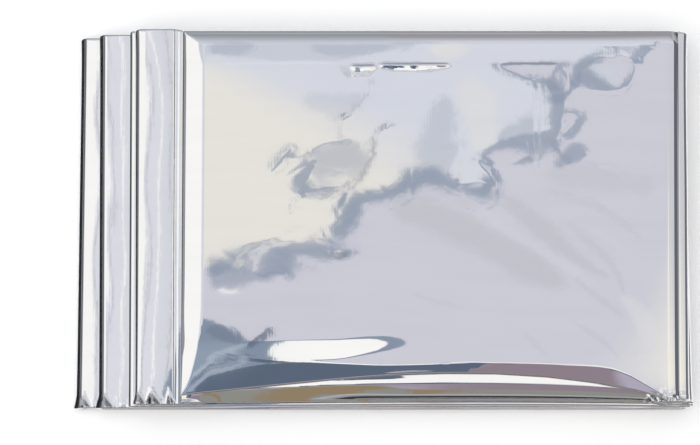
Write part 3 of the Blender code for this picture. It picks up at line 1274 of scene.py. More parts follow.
def shown_from(x, y, height=CARD_HEIGHT):
    """The point at this height over the floor that the film's smooth form shows at x, y on the pad."""
    slopes = [
        (form_height(x + dx, y + dy) - form_height(x - dx, y - dy)) / (2 * SLOPE_STEP)
        for dx, dy in ((SLOPE_STEP, 0), (0, SLOPE_STEP))]
    spot = Vector((x, y, PLY_TOP + form_height(x, y))) * MM
    normal = Vector((-slopes[0], -slopes[1], 1)).normalized()
    ray = (spot - scene.camera.location).normalized().reflect(normal)
    return spot + ray * (height - spot.z) / ray.z


def seen(*places):
    """Corners of a card for places on the pad in mm, so that the film shows the card there."""
    return tuple(tuple(shown_from(x, y).xy) for x, y in places)


print("the middle of the pad shows:", shown_from(0, 0))

# %% [markdown]
# ## Cards
#
# A cream card and a lilac one meet over the pad with a narrow gap, and the gap wanders over the
# upper ply. White cards at the left brighten the folds and a dark one behind them draws their
# outer lines. Steel, plum and tan cards low at the front colour the bevel and the droop, which lean
# towards them. A card that overlaps another hangs a little below it.

# %% Colours of the cards
LILAC = (0.675, 0.675, 0.75)
CREAM = (0.885, 0.858, 0.80)
PALE = (0.74, 0.765, 0.84)
WARM = (1.00, 0.975, 0.86)
WHITE = (1.05, 1.04, 1.02)
NEUTRAL = (0.80, 0.80, 0.81)
STEEL = (0.255, 0.315, 0.41)
LIGHT_STEEL = (0.31, 0.375, 0.475)
GAP_BLUE = (0.30, 0.355, 0.455)
NIGHT_BLUE = (0.115, 0.150, 0.213)
PLUM = (0.30, 0.24, 0.28)
PALE_PLUM = (0.47, 0.43, 0.53)
TAN = (0.315, 0.24, 0.147)
MOSS_GREY = (0.30, 0.30, 0.275)
ISLAND_GREY = (0.595, 0.602, 0.638)
BACK_LILAC = (0.645, 0.675, 0.75)
BACK_GREY = (0.33, 0.355, 0.38)
DIM = (0.32, 0.33, 0.36)
DARK = (0.02, 0.022, 0.025)
SOFT_GREY = (0.14, 0.145, 0.165)
SLANT_LILAC = (0.605, 0.605, 0.68)
print("the key card's colour:", CREAM)

# %% Table of cards
# the line on the pad, in mm, where the cream card and the lilac one meet
RIVER = (
    (-43.0, -12.5), (-32.0, -11.5), (-22.0, -9.5), (-16.0, -8.0), (-11.5, -6.5), (-8.0, -2.5), (-6.5, 1.5),
    (0.0, 3.5), (7.0, 7.0), (13.0, 6.5), (19.5, 4.2), (22.8, 5.5), (22.5, 8.5), (20.1, 11.0), (26.0, 13.2),
    (32.0, 13.8), (35.5, 16.0), (36.8, 20.5), (36.5, 24.5), (35.3, 27.0), (30.0, 28.5), (24.5, 31.4),
    (31.0, 32.2), (38.0, 32.0), (43.0, 31.9), (48.2, 33.7), (52.4, 33.5), (57.0, 35.2))
# the left end of the lilac card on the pad, from the front
SHORE = ((-28.0, -27.4), (-29.0, -26.2), (-31.0, -24.2), (-35.5, -23.0), (-43.0, -22.6))
# level: above the plane of the cards. near, far: the colours at the points start and end, in metres.
Card = namedtuple("Card", "name level near far start end corners")


def plain_card(name, level, tone, corners):
    """A card of one colour."""
    return Card(name, level, tone, tone, (0, 0), (1, 0), corners)


KEY_CORNERS = seen(*RIVER) + ((0.22, 0.55), (0.22, 0.62), (-0.14, 0.62))
FILL_CORNERS = ((0.40, 0.62), (0.22, 0.62), (0.22, 0.55)) + seen(*RIVER[::-1]) + seen(*SHORE[::-1])
FILL_CORNERS += ((0.02, 0.03), (0.06, -0.01), (0.06, -0.28), (0.40, -0.28))
BACK_CORNERS = seen(
    (-45, 33.2), (-34, 33.6), (-27, 32.8), (-20, 32.0), (-10, 31.9), (-5, 33.0), (2, 34.8), (-2, 36.2),
    (-45, 36.2))
CARDS = (
    Card("gap", 0.02, STEEL, GAP_BLUE, (-0.12, 0.02), (-0.06, 0.16), (
        (-0.9, -0.33), (0.9, -0.33), (0.9, 0.7), (-0.9, 0.7))),
    Card("key", 0.00, CREAM, PALE, (-0.05, 0.28), (0.0, 0.33), KEY_CORNERS),
    plain_card("fill", 0.00, LILAC, FILL_CORNERS),
    # low at the back, for the bevel along the back edge
    plain_card("back_lilac", -0.005, BACK_LILAC, BACK_CORNERS),
    Card("back_band", -0.01, BACK_LILAC, BACK_GREY, (0, 0.55), (0, 1.75), (
        (-0.80, 0.57), (0.06, 0.57), (0.0, 2.3), (-1.4, 2.3), (-1.15, 1.0))),
    plain_card("back_left", -0.008, BACK_LILAC, (
        (-0.25, 0.38), (-0.29, 0.41), (-0.50, 0.49), (-0.80, 0.58), (-0.25, 0.58))),
    Card("back_band_right", -0.01, (0.70, 0.71, 0.785), (0.345, 0.34, 0.37), (0, 0.70), (0, 1.55), (
        (0.06, 0.57), (1.4, 0.57), (1.4, 2.3), (0.0, 2.3))),
    # at the front, for the swell, the front bevel and the droop
    plain_card("front_white", -0.004, WHITE, (
        (-0.058, -0.165), (0.20, -0.165), (0.20, -0.06), (0.04, -0.05), (0.035, 0.0), (-0.048, 0.0))),
    Card("warm_corner", -0.01, LILAC, WARM, (0.196, 0.11), (0.262, 0.05), (
        (0.13, 0.02), (0.20, -0.20), (0.23, -0.28), (0.40, -0.28), (0.40, 0.30), (0.13, 0.15))),
    Card("front_night", 0.01, STEEL, NIGHT_BLUE, (-0.16, 0), (-0.06, 0), (
        (-0.5, -0.16), (0.06, -0.16), (0.06, -0.28), (0.10, -0.28), (0.10, -0.45), (-0.5, -0.45))),
    Card("front_steel", -0.006, STEEL, LIGHT_STEEL, (0, 0.08), (0, -0.10), (
        (-0.20, -0.22), (-0.09, -0.22), (-0.076, -0.02), (-0.084, 0.075), (-0.097, 0.106),
        (-0.113, 0.113), (-0.135, 0.10), (-0.175, 0.06), (-0.20, 0.02))),
    Card("front_plum", 0.00, PLUM, PALE_PLUM, (0.10, -0.6), (-0.05, -0.6), (
        (-0.5, -0.86), (0.5, -0.86), (0.5, -0.28), (0.10, -0.28), (0.10, -0.45), (-0.5, -0.45))),
    plain_card("front_low", 0.00, MOSS_GREY, ((-0.4, -2.5), (0.4, -2.5), (0.4, -0.86), (-0.4, -0.86))),
    Card("front_tan", -0.01, TAN, MOSS_GREY, (0.07, -1.5), (0.09, -1.5), (
        (0.004, -2.4), (0.09, -2.4), (0.09, -0.95), (0.004, -0.95))),
    # at the left, for the strips and the left bevel
    Card("left_lilac", 0.00, (0.80, 0.80, 0.87), (0.73, 0.75, 0.80), (-0.26, 0), (-0.15, 0), (
        (-0.262, -0.25), (-0.133, -0.25), (-0.133, 1.3), (-0.262, 1.3))),
    plain_card("left_line", -0.004, (0.50, 0.51, 0.56), (
        (-0.252, -0.25), (-0.248, -0.25), (-0.240, 1.3), (-0.244, 1.3))),
    plain_card("left_line_pale", -0.004, WHITE, (
        (-0.219, -0.25), (-0.213, -0.25), (-0.207, 1.3), (-0.213, 1.3))),
    plain_card("left_line_thin", -0.004, (0.42, 0.44, 0.48), (
        (-0.173, -0.25), (-0.170, -0.25), (-0.176, 1.3), (-0.179, 1.3))),
    plain_card("left_white", 0.00, WHITE, ((-1.15, -0.6), (-0.262, -0.6), (-0.262, 1.3), (-1.15, 1.3))),
    plain_card("left_dim", 0.00, DIM, ((-2.1, -0.6), (-1.15, -0.6), (-1.15, 1.3), (-2.1, 1.3))),
    plain_card("left_dark", 0.00, DARK, ((-3.0, -0.6), (-2.1, -0.6), (-2.1, 1.3), (-3.0, 1.3))),
    # at the right, for the free end and the right folds
    Card("right_white", 0.00, WARM, (0.66, 0.66, 0.71), (0, 0.05), (0, 0.26), (
        (0.40, -0.8), (1.5, -0.8), (1.5, 1.3), (0.40, 1.3))),
    plain_card("right_grey", 0.00, SOFT_GREY, ((1.5, -0.8), (3.2, -0.8), (3.2, 1.3), (1.5, 1.3))),
)
print("cards in the table:", len(CARDS))


# %% [markdown]
# Each card glows by itself, and its colour may run from one tone to another. The camera doesn't
# see the cards and they cast no shadow, so only the film shows them.

# %% Hanging the cards
def glowing(name):
    """An empty glowing material: its tree, its emission and its output."""
    glow = bpy.data.materials.new(name)
    glow.use_nodes = True
    tree = glow.node_tree
    tree.nodes.clear()
    return glow, tree, tree.nodes.new("ShaderNodeEmission"), tree.nodes.new("ShaderNodeOutputMaterial")


def card_glow(card):
    """An emission whose colour runs from near to far along the card."""
    glow, tree, emission, output = glowing(card.name + "_glow")
    tree.links.new(emission.outputs[0], output.inputs["Surface"])
    run = Vector(card.end) - Vector(card.start)
    coordinates = tree.nodes.new("ShaderNodeTexCoord")
    along = tree.nodes.new("ShaderNodeVectorMath")
    along.operation = "DOT_PRODUCT"
    along.inputs[1].default_value = (*(run / run.length_squared), 0)
    tree.links.new(coordinates.outputs["Object"], along.inputs[0])
    blend = tree.nodes.new("ShaderNodeMapRange")
    blend.interpolation_type = "SMOOTHSTEP"
    blend.inputs["From Min"].default_value = Vector(card.start).dot(run) / run.length_squared
    blend.inputs["From Max"].default_value = Vector(card.end).dot(run) / run.length_squared
    tree.links.new(along.outputs["Value"], blend.inputs["Value"])
    colour = tree.nodes.new("ShaderNodeMix")
    colour.data_type = "RGBA"
    colour.inputs["A"].default_value = (*card.near, 1)
    colour.inputs["B"].default_value = (*card.far, 1)
    tree.links.new(blend.outputs["Result"], colour.inputs["Factor"])
    tree.links.new(colour.outputs["Result"], emission.inputs["Color"])
    return glow


def hang(board):
    """Hangs a card where only the film sees it."""
    board.visible_camera = False
    board.visible_shadow = False
    scene.collection.objects.link(board)


def hang_card(card):
    """A flat glowing card that faces down."""
    height = CARD_HEIGHT + card.level
    mesh = bpy.data.meshes.new(card.name)
    mesh.from_pydata([(x, y, height) for x, y in card.corners], [], [tuple(range(len(card.corners)))])
    mesh.materials.append(card_glow(card))
    hang(bpy.data.objects.new(card.name, mesh))


for card in CARDS:
    hang_card(card)
print("cards:", len(CARDS))

# %% [markdown]
# ## Boards
#
# The rounded edges of the layers look out sideways, so boards stand at the left and the front and
# dark sheets lie on the floor there. Their dark reflections draw the outlines of the folds: painted
# shade for the gaps between the layers. The sheets light nothing and the camera doesn't see them, so
# the floor stays plain.

# %% Boards
# corners: in metres
Board = namedtuple("Board", "name tone corners")
SHADE_SHEET_LIFT = 0.0004


def standing(name, tone, first, last, height):
    """An upright board on the floor line from first to last."""
    return Board(name, tone, ((*first, 0), (*last, 0), (*last, height), (*first, height)))


def lying(name, tone, left, right, front, back):
    """A dark sheet that lies just over the floor, which the film shows as painted shade."""
    return Board(name, tone, tuple(
        (x, y, SHADE_SHEET_LIFT) for x, y in ((left, front), (right, front), (right, back), (left, back))))


# dark boards and sheets that only the film shows: painted shade along the edges of the folds
BOARDS = (
    standing("left_board", DARK, (-3.0, -1.2), (-3.0, 1.2), 0.75),
    standing("front_board", (0.05, 0.05, 0.05), (-1.2, -3.4), (1.2, -3.4), 0.75),
    lying("left_shade_sheet", DARK, -0.7, -0.066, -0.3, 0.3),
    lying("front_shade_sheet", (0.20, 0.20, 0.205), -0.2, 0.2, -0.6, -0.046),
)


def set_up_board(board):
    """A flat board of one tone."""
    glow, tree, emission, output = glowing(board.name + "_glow")
    tree.links.new(emission.outputs[0], output.inputs["Surface"])
    emission.inputs["Color"].default_value = (*board.tone, 1)
    mesh = bpy.data.meshes.new(board.name)
    mesh.from_pydata(board.corners, [], [tuple(range(len(board.corners)))])
    mesh.materials.append(glow)
    plate = bpy.data.objects.new(board.name, mesh)
    plate.visible_diffuse = False
    hang(plate)


for board in BOARDS:
    set_up_board(board)
print("boards:", len(BOARDS))

# %% [markdown]
# ## Streams of painted shade and light
#
# Under the cards hang soft-edged glowing ribbons, dark and bright. They paint streaks into what
# the film reflects: painted reflections, and painted shade and highlights along its creases. In
# loose film they look like streams that wander over the pad. Each one is given by the places where
# the film shows it, and the mirror's rule turns these places into the ribbon's own path. A ribbon's
# shade fades out to its edges and its ends, and its width is a little ragged, because nothing that
# loose film shows has a clean edge.

# %% Table of streams
# tone: the colour it glows with, which the film shows as a painted reflection. depth: how much it
# hides. places: x, y and half width on the pad, in mm.
Stream = namedtuple("Stream", "name tone depth places")
STREAMS = (
    # broad painted reflections: faint blue, bright, grey and pale patches
    Stream("blue_reflection_back", GAP_BLUE, 0.20, (
        (-18, 25.0, 2.5), (-12, 23.0, 4.5), (-7, 22.5, 4.5), (-3.5, 25.5, 2.5))),
    Stream("blue_reflection_middle", GAP_BLUE, 0.32, (
        (13.6, 25.5, 2.5), (12.4, 18.5, 4.5), (11.5, 13.0, 6.5), (15.0, 9.5, 5.0))),
    Stream("blue_reflection_right", GAP_BLUE, 0.40, ((23.5, 15.0, 2.0), (28.0, 16.8, 4.0), (33.0, 18.6, 4.5))),
    Stream("bright_middle", NEUTRAL, 0.85, (
        (17.0, 29.0, 4.0), (20.5, 22.0, 6.0), (20.5, 15.0, 3.5), (19.5, 12.0, 1.5))),
    Stream("bright_back", CREAM, 0.5, ((9.0, 35.0, 1.0), (14.3, 34.4, 2.6), (19.0, 35.0, 1.0))),
    Stream("grey_reflection_back", ISLAND_GREY, 0.45, (
        (33.0, 8.0, 2.0), (42.0, 7.5, 3.6), (52.0, 6.0, 3.6), (58.0, 5.0, 2.0))),
    Stream("grey_reflection_band", ISLAND_GREY, 0.75, (
        (1.0, 0.5, 3.0), (9.0, -0.6, 4.8), (19.5, -5.2, 5.2), (29.0, -10.6, 4.8), (39.0, -16.5, 3.0))),
    Stream("grey_reflection_wedge", ISLAND_GREY, 0.75, (
        (23.5, 3.8, 1.2), (30.5, -1.2, 2.8), (36.0, -6.0, 2.8), (41.5, -10.6, 1.5), (48.0, -14.2, 0.8))),
    Stream("pale_line", (0.72, 0.72, 0.79), 0.6, (
        (16.0, 3.8, 0.8), (24.7, -2.9, 1.1), (31.0, -7.1, 1.1), (37.3, -10.9, 1.0), (46.5, -17.2, 0.8))),
    Stream("pale_front", (0.79, 0.79, 0.83), 0.55, (
        (49.5, -17.5, 1.2), (53.5, -21.5, 2.8), (55.5, -26.5, 2.4), (55.5, -30.0, 1.2))),
    # fine slanting creases at the right: painted lines in the reflection, with no crease in the relief
    # under them
    Stream("slant_1", SLANT_LILAC, 0.60, (
        (33.0, 4.6, 0.5), (40.5, 2.6, 0.8), (46.5, 0.4, 0.8), (55.0, -6.4, 0.6))),
    Stream("slant_2", (0.72, 0.72, 0.78), 0.50, ((36.0, 0.2, 0.4), (45.7, -4.6, 0.8), (54.0, -11.4, 0.5))),
    Stream("slant_3", SLANT_LILAC, 0.60, (
        (38.0, -2.0, 0.5), (43.8, -7.0, 1.1), (48.8, -12.6, 0.9), (50.6, -18.0, 0.5))),
    Stream("slant_4", SLANT_LILAC, 0.55, ((39.0, -13.2, 0.5), (45.0, -18.2, 1.0), (51.0, -22.8, 0.5))),
    Stream("slant_5", SLANT_LILAC, 0.45, ((38.0, -22.0, 0.4), (45.2, -26.9, 0.8), (49.5, -31.2, 0.4))),
    Stream("slant_6", SLANT_LILAC, 0.45, ((28.8, -25.0, 0.4), (32.5, -28.6, 0.7), (35.5, -31.5, 0.4))),
    Stream("slant_7", SLANT_LILAC, 0.55, ((41.5, 11.0, 0.4), (46.5, 9.0, 0.8), (51.5, 6.6, 0.4))),
    Stream("slant_8", SLANT_LILAC, 0.40, ((5.0, -16.5, 0.4), (11.0, -19.0, 0.8), (18.0, -20.5, 0.4))),
    # the river: a painted blue reflection along the gap between the cream card and the lilac one
    Stream("river_left", GAP_BLUE, 0.80, (
        (-36.6, -13.0, 4.2), (-32.3, -12.3, 4.8), (-27.2, -11.4, 4.8), (-21.8, -9.9, 4.8),
        (-16.6, -8.4, 4.4), (-12.0, -8.3, 3.0), (-7.8, -8.8, 2.0), (-4.4, -8.8, 0.8))),
    Stream("river_middle", GAP_BLUE, 0.90, (
        (-11.8, -4.6, 1.6), (-9.2, -3.9, 2.6), (-7.4, -2.2, 3.4), (-6.7, 0.3, 3.6), (-6.0, 2.2, 3.2),
        (-3.4, 3.2, 2.4), (0.6, 3.6, 2.0), (4.4, 5.0, 2.6), (6.9, 7.1, 3.4), (10.1, 7.6, 3.4),
        (13.4, 6.5, 2.4), (16.3, 5.4, 1.8))),
    Stream("river_hook", GAP_BLUE, 0.90, (
        (14.8, 6.0, 1.8), (17.5, 4.6, 2.2), (20.0, 3.8, 2.8), (22.2, 4.0, 3.2), (23.3, 6.2, 2.8),
        (22.9, 8.4, 1.9), (21.2, 10.1, 1.4), (20.1, 11.0, 1.0))),
    Stream("river_right", GAP_BLUE, 0.78, (
        (19.6, 11.0, 0.8), (23.1, 12.7, 1.4), (26.0, 13.4, 2.2), (29.1, 13.6, 2.8), (32.3, 14.2, 2.9),
        (35.0, 15.8, 2.6), (36.5, 18.2, 2.2), (36.7, 20.7, 2.2), (36.9, 23.1, 2.0), (37.8, 25.0, 1.4))),
    # the network near the back right corner: painted blue reflections along its creases
    Stream("bay_inside", (0.66, 0.70, 0.78), 0.9, (
        (44.0, 30.5, 1.6), (48.0, 29.5, 2.2), (51.0, 29.8, 1.4))),
    Stream("arm_left", GAP_BLUE, 0.80, (
        (23.0, 31.9, 0.8), (26.4, 30.1, 1.4), (29.8, 28.6, 1.4), (33.1, 27.8, 1.8), (35.0, 27.0, 2.8),
        (36.3, 25.0, 3.0), (36.9, 22.8, 2.4))),
    # painted shade along the hinge and the hook, and a painted highlight along the hinge at the left
    Stream("hinge_shade", (0.20, 0.24, 0.31), 0.80, (
        (24.0, 31.7, 0.2), (31.0, 31.8, 0.3), (34.2, 31.8, 0.35), (38.0, 31.7, 0.2))),
    Stream("hinge_highlight_left", (0.80, 0.82, 0.88), 0.7, (
        (-36.0, 31.7, 0.15), (-26.0, 31.8, 0.25), (-16.0, 31.7, 0.25), (-8.6, 31.7, 0.15))),
    Stream("hook_shade", (0.30, 0.33, 0.38), 0.65, (
        (-8.6, 31.8, 0.3), (-8.3, 30.4, 0.45), (-7.4, 29.6, 0.4), (-6.4, 29.3, 0.3))),
    Stream("isle_left", GAP_BLUE, 0.80, (
        (36.5, 25.6, 1.6), (36.8, 28.0, 1.3), (37.5, 30.5, 1.0), (39.0, 32.0, 0.7))),
    Stream("isle_right", GAP_BLUE, 0.80, (
        (38.0, 24.3, 1.8), (40.0, 25.9, 1.3), (41.1, 28.0, 1.6), (41.2, 30.1, 1.8), (42.6, 31.6, 2.2),
        (45.3, 32.9, 1.7), (48.2, 33.8, 1.2), (52.4, 33.5, 1.1), (55.2, 34.7, 1.3), (57.4, 35.5, 0.9),
        (58.6, 36.9, 0.6))),
    Stream("bay_right", GAP_BLUE, 0.80, (
        (41.0, 29.0, 2.4), (44.2, 28.6, 2.6), (46.3, 27.1, 1.7), (49.3, 26.1, 1.3), (51.6, 27.1, 1.2),
        (52.6, 29.3, 1.1), (53.2, 31.8, 0.8))),
    Stream("small_loop", GAP_BLUE, 0.75, (
        (37.7, 15.9, 2.2), (39.4, 16.7, 1.6), (41.1, 18.6, 1.3), (42.0, 20.2, 1.2), (40.7, 21.2, 0.9),
        (38.2, 21.0, 0.8))),
    Stream("tail", GAP_BLUE, 0.75, (
        (35.8, 14.8, 1.2), (36.7, 13.1, 1.6), (37.9, 10.8, 2.4), (39.2, 9.1, 1.4))),
    Stream("tail_side", GAP_BLUE, 0.75, ((38.2, 12.0, 2.4), (41.5, 12.7, 2.1), (43.8, 12.4, 0.9))),
    # the fold marks of the flat sheet: painted shade and a painted highlight along their creases
    Stream("fold_mark_shade", (0.36, 0.38, 0.45), 0.60, (
        (31.75, 32.4, 0.16), (31.8, 20.0, 0.20), (31.9, 7.0, 0.16))),
    Stream("fold_mark_highlight", WHITE, 0.55, ((32.2, 32.4, 0.16), (32.25, 20.0, 0.20), (32.3, 9.0, 0.16))),
    Stream("fold_mark_thin_shade", (0.42, 0.44, 0.50), 0.55, (
        (32.7, 32.4, 0.14), (32.75, 22.0, 0.16), (32.8, 11.0, 0.14))),
    # the island in the middle, a painted grey and blue reflection, with painted shade along its creases
    Stream("island", ISLAND_GREY, 1.0, (
        (-15.0, 9.8, 3.6), (-11.0, 10.6, 5.4), (-6.5, 11.5, 5.8), (-3.0, 12.8, 3.4))),
    Stream("island_back", GAP_BLUE, 0.85, (
        (-20.3, 11.0, 0.5), (-18.9, 11.6, 0.5), (-16.6, 11.4, 0.5), (-14.7, 12.7, 0.6), (-12.2, 14.2, 0.6),
        (-8.8, 14.6, 0.5), (-6.0, 15.3, 0.4))),
    Stream("island_right", (0.20, 0.23, 0.30), 0.85, (
        (-1.3, 16.8, 0.30), (-1.5, 13.9, 0.45), (-2.4, 11.0, 0.45), (-4.2, 8.0, 0.40), (-6.3, 6.1, 0.45),
        (-8.4, 5.2, 0.6))),
    Stream("island_front", GAP_BLUE, 0.85, (
        (-13.8, 11.2, 0.8), (-15.6, 9.5, 1.7), (-17.0, 7.1, 2.6), (-16.8, 4.7, 3.4), (-14.0, 4.4, 2.8),
        (-10.9, 4.8, 2.2), (-8.2, 5.2, 0.9))),
    Stream("island_spur", GAP_BLUE, 0.7, ((-16.8, 4.4, 1.6), (-17.4, 1.6, 0.9))),
    Stream("bar", GAP_BLUE, 0.80, (
        (-23.8, 7.8, 1.2), (-21.4, 10.7, 2.2), (-19.5, 12.9, 2.0), (-17.8, 13.8, 1.1))),
    Stream("dot", GAP_BLUE, 0.7, ((-19.4, 0.0, 0.5), (-18.9, 2.2, 0.4))),
    # painted shade along the wandering crease below the pinch and along the loop
    Stream("knot", (0.16, 0.19, 0.24), 0.85, (
        (-9.1, 18.9, 0.3), (-8.2, 19.5, 0.55), (-6.9, 19.9, 0.55), (-6.0, 20.4, 0.3))),
    Stream("thread", (0.24, 0.27, 0.33), 0.65, (
        (-1.9, 29.0, 0.25), (-1.8, 26.8, 0.40), (-2.3, 25.0, 0.45), (-3.6, 23.4, 0.25), (-5.2, 21.6, 0.25),
        (-6.0, 20.4, 0.3))),
    Stream("thread_down", (0.30, 0.33, 0.39), 0.55, (
        (-8.6, 19.0, 0.25), (-8.8, 17.2, 0.25), (-8.6, 15.4, 0.25))),
    Stream("thread_end", (0.20, 0.23, 0.29), 0.80, (
        (-1.3, 16.6, 0.35), (0.0, 17.8, 0.45), (1.4, 18.6, 0.5), (2.3, 18.5, 0.3))),
    # the back band: painted blue clouds in the reflection
    Stream("back_cloud", GAP_BLUE, 0.35, ((-36.5, 35.4, 1.8), (-33.0, 34.9, 2.2), (-26.0, 35.6, 1.4))),
    Stream("back_cloud_right", GAP_BLUE, 0.30, (
        (-15.0, 35.6, 1.4), (-10.0, 34.4, 1.8), (0.0, 35.2, 1.4), (8.0, 36.0, 1.0))),
    # the left part of the river has thin lines in it: painted shade and painted highlights along its
    # creases
    Stream("left_thread", (0.24, 0.29, 0.37), 0.90, (
        (-30.2, -8.2, 0.35), (-27.7, -7.4, 0.5), (-25.2, -6.6, 0.55), (-23.1, -5.7, 0.55),
        (-20.3, -5.0, 0.5), (-17.2, -4.8, 0.4))),
    Stream("left_slash", (0.86, 0.83, 0.86), 0.95, (
        (-27.2, -11.8, 0.45), (-26.4, -10.9, 0.75), (-25.0, -9.6, 0.8), (-23.3, -8.6, 0.75),
        (-21.2, -7.7, 0.65), (-19.6, -7.3, 0.35))),
    Stream("left_gleam", WHITE, 0.7, ((-34.0, -16.8, 0.5), (-31.5, -16.9, 0.8), (-29.6, -17.0, 0.5))),
    Stream("left_core", STEEL, 0.55, ((-36.9, -12.0, 1.8), (-33.0, -12.6, 2.2), (-28.5, -12.2, 1.6))),
    Stream("left_slash_side", CREAM, 0.9, (
        (-30.8, -11.6, 0.35), (-29.6, -10.9, 0.6), (-28.2, -10.0, 0.6), (-27.0, -9.2, 0.35))),
    Stream("left_pale", (0.46, 0.48, 0.57), 0.75, (
        (-36.0, -15.5, 1.5), (-32.0, -14.6, 2.4), (-28.0, -13.6, 2.2), (-24.5, -13.4, 1.2))),
    Stream("left_drip", STEEL, 0.6, ((-19.6, -11.5, 0.5), (-19.9, -13.4, 0.7), (-20.4, -14.6, 0.5))),
    Stream("left_cut", LILAC, 0.85, ((-17.5, -11.6, 0.5), (-15.0, -10.9, 0.7), (-12.5, -11.2, 0.5))),
    Stream("left_shade_line", STEEL, 0.7, (
        (-26.5, -13.0, 0.4), (-21.5, -12.0, 0.6), (-18.6, -13.4, 0.7), (-19.8, -15.2, 0.4))),
    # painted shade along the crease in the river, with a painted highlight beside it
    Stream("left_fleck", (0.16, 0.19, 0.24), 0.85, (
        (-11.6, -8.8, 0.4), (-9.6, -9.9, 0.7), (-7.4, -9.6, 0.7), (-6.2, -8.8, 0.4))),
    Stream("left_fleck_pale", WHITE, 0.9, ((-10.8, -9.0, 0.4), (-9.6, -9.0, 0.6), (-8.6, -8.8, 0.4))),
    # the front left: painted steel reflections on the bevel, and painted shade along the low ridge near
    # the front edge
    Stream("steel_dark_back", (0.20, 0.245, 0.32), 0.70, (
        (-36.9, -24.7, 1.4), (-34.6, -25.2, 2.0), (-31.5, -26.4, 1.8), (-29.3, -28.2, 1.0))),
    Stream("steel_light_back", (0.46, 0.52, 0.61), 0.80, (
        (-36.6, -30.8, 0.5), (-34.0, -30.0, 0.8), (-30.6, -28.9, 0.8), (-28.2, -27.6, 0.4))),
    Stream("steel_light_front", (0.42, 0.48, 0.57), 0.70, (
        (-37.2, -34.4, 0.6), (-33.6, -33.2, 0.9), (-29.8, -31.8, 0.9), (-27.4, -30.6, 0.5))),
    Stream("steel_dark_front", NIGHT_BLUE, 0.50, (
        (-36.8, -32.6, 0.5), (-33.0, -31.5, 0.8), (-29.0, -30.2, 0.6))),
    Stream("stroke", NIGHT_BLUE, 0.80, (
        (-28.3, -28.8, 1.0), (-26.0, -27.1, 1.5), (-23.9, -25.6, 1.4), (-22.8, -24.8, 0.6))),
)
print("streams in the table:", len(STREAMS))

# %% [markdown]
# A ribbon has five rows of points along a smooth curve through its places. Each point carries its
# own shade, 1 in the middle of the ribbon and 0 at its edges, and each ribbon hangs a little
# below the one before it in the table.

# %% Hanging the streams
STREAM_LEVEL = -0.012
STREAM_STEP = -0.0003
CURVE_STEPS = 6
ACROSS = (-1, -0.5, 0, 0.5, 1)
SMALLEST_HALF_WIDTH = 0.15
RAGGED_SHARE = 0.35
RAGGED_LENGTH = 1.9
RAGGED_SEED = 0.5
END_STEPS = 3
END_SHARE = 0.2
BRISTLE = 0.16


def curve_through(places):
    """Points on a smooth curve through the places; the third number stays the half width."""
    knots = [Vector(spot) for spot in places]
    knots = [2 * knots[0] - knots[1], *knots, 2 * knots[-1] - knots[-2]]
    points = []
    for before, start, end, after in zip(knots, knots[1:], knots[2:], knots[3:]):
        handles = start + (end - before) / 6, end - (after - start) / 6
        points += interpolate_bezier(start, *handles, end, CURVE_STEPS)[:-1]
    return points + [knots[-2]]


def stream_glow(stream):
    """An emission that fades out to the ribbon's edges, with bristly ends."""
    glow, tree, emission, output = glowing(stream.name + "_glow")
    emission.inputs["Color"].default_value = (*stream.tone, 1)
    shade = tree.nodes.new("ShaderNodeAttribute")
    shade.attribute_name = "shade"
    bristle = maths(tree, "SUBTRACT", noise_on_film(tree, place_on_film(tree, (1, 0.3, 1)), 700), 0.5)
    rough_shade = maths(tree, "ADD", shade.outputs["Fac"], maths(tree, "MULTIPLY", bristle, BRISTLE))
    cover = tree.nodes.new("ShaderNodeMapRange")
    cover.interpolation_type = "SMOOTHSTEP"
    cover.inputs["From Min"].default_value = 0.05
    cover.inputs["From Max"].default_value = 0.60
    cover.inputs["To Max"].default_value = stream.depth
    tree.links.new(rough_shade, cover.inputs["Value"])
    clear = tree.nodes.new("ShaderNodeBsdfTransparent")
    both = tree.nodes.new("ShaderNodeMixShader")
    tree.links.new(cover.outputs["Result"], both.inputs["Fac"])
    tree.links.new(clear.outputs[0], both.inputs[1])
    tree.links.new(emission.outputs[0], both.inputs[2])
    tree.links.new(both.outputs[0], output.inputs["Surface"])
    return glow


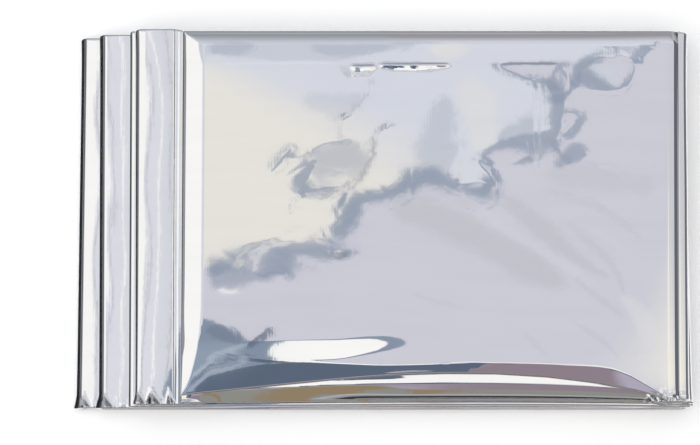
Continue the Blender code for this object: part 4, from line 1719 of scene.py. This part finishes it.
def hang_stream(stream, height):
    """A ribbon of five rows of points, dense in the middle and clear at its edges."""
    points = curve_through(stream.places)
    corners, shades = [], []
    for i, point in enumerate(points):
        along = (points[min(i + 1, len(points) - 1)] - points[max(i - 1, 0)]).xy.normalized()
        ragged = noise.noise(Vector((point.x / RAGGED_LENGTH, point.y / RAGGED_LENGTH, RAGGED_SEED)))
        width = max(SMALLEST_HALF_WIDTH, point.z) * (1 + RAGGED_SHARE * ragged)
        ends = smooth(min(i, len(points) - 1 - i) / END_STEPS + END_SHARE)
        for share in ACROSS:
            spot = point.xy + Vector((-along.y, along.x)) * share * width
            corners.append(shown_from(spot.x, spot.y, height))
            shades.append((1 - abs(share)) * ends)
    count = len(ACROSS)
    faces = [
        (i * count + k, i * count + k + 1, (i + 1) * count + k + 1, (i + 1) * count + k)
        for i in range(len(points) - 1) for k in range(count - 1)]
    mesh = bpy.data.meshes.new(stream.name)
    mesh.from_pydata(corners, [], faces)
    mesh.attributes.new("shade", "FLOAT", "POINT").data.foreach_set("value", shades)
    mesh.materials.append(stream_glow(stream))
    hang(bpy.data.objects.new(stream.name, mesh))


for i, stream in enumerate(STREAMS):
    hang_stream(stream, CARD_HEIGHT + STREAM_LEVEL + STREAM_STEP * i)
print("streams:", len(STREAMS))

# %% [markdown]
# ## Lamp and room
#
# A soft lamp brightens the floor alone: the film doesn't show it, because a mirror that saw the
# lamp would burn out. The room round the cards is dark near the floor and grey higher up, so from every
# side the film is grey on top and has dark lines along its rounded edges.

# %% Lamp
wash = bpy.data.lights.new("floor_wash", "SUN")
wash.energy = 2.5
wash.angle = math.radians(60)
lamp = bpy.data.objects.new("floor_wash", wash)
lamp.visible_glossy = False
lamp.rotation_euler = (math.radians(8), math.radians(-8), 0)
scene.collection.objects.link(lamp)
print("lamp:", wash.name)

# %% Room
room = bpy.data.worlds.new("room")
scene.world = room
room.use_nodes = True
# the sine of the angle above the floor, and the room's brightness there
ROOM_SHADES = ((0.00, 0.020), (0.10, 0.040), (0.18, 0.12), (0.28, 0.34), (0.45, 0.50), (0.80, 0.62))
ROOM_TINT = (0.98, 1.0, 1.05)
tree = room.node_tree
coordinates = tree.nodes.new("ShaderNodeTexCoord")
height = tree.nodes.new("ShaderNodeSeparateXYZ")
tree.links.new(coordinates.outputs["Generated"], height.inputs[0])
shades = tree.nodes.new("ShaderNodeValToRGB")
shades.color_ramp.interpolation = "EASE"
for i, (sine, shade) in enumerate(ROOM_SHADES):
    stops = shades.color_ramp.elements
    stop = stops[i] if i < 2 else stops.new(sine)
    stop.position = sine
    stop.color = (*(shade * part for part in ROOM_TINT), 1)
tree.links.new(height.outputs["Z"], shades.inputs["Fac"])
tree.links.new(shades.outputs["Color"], tree.nodes["Background"].inputs["Color"])
print("room:", room.name)
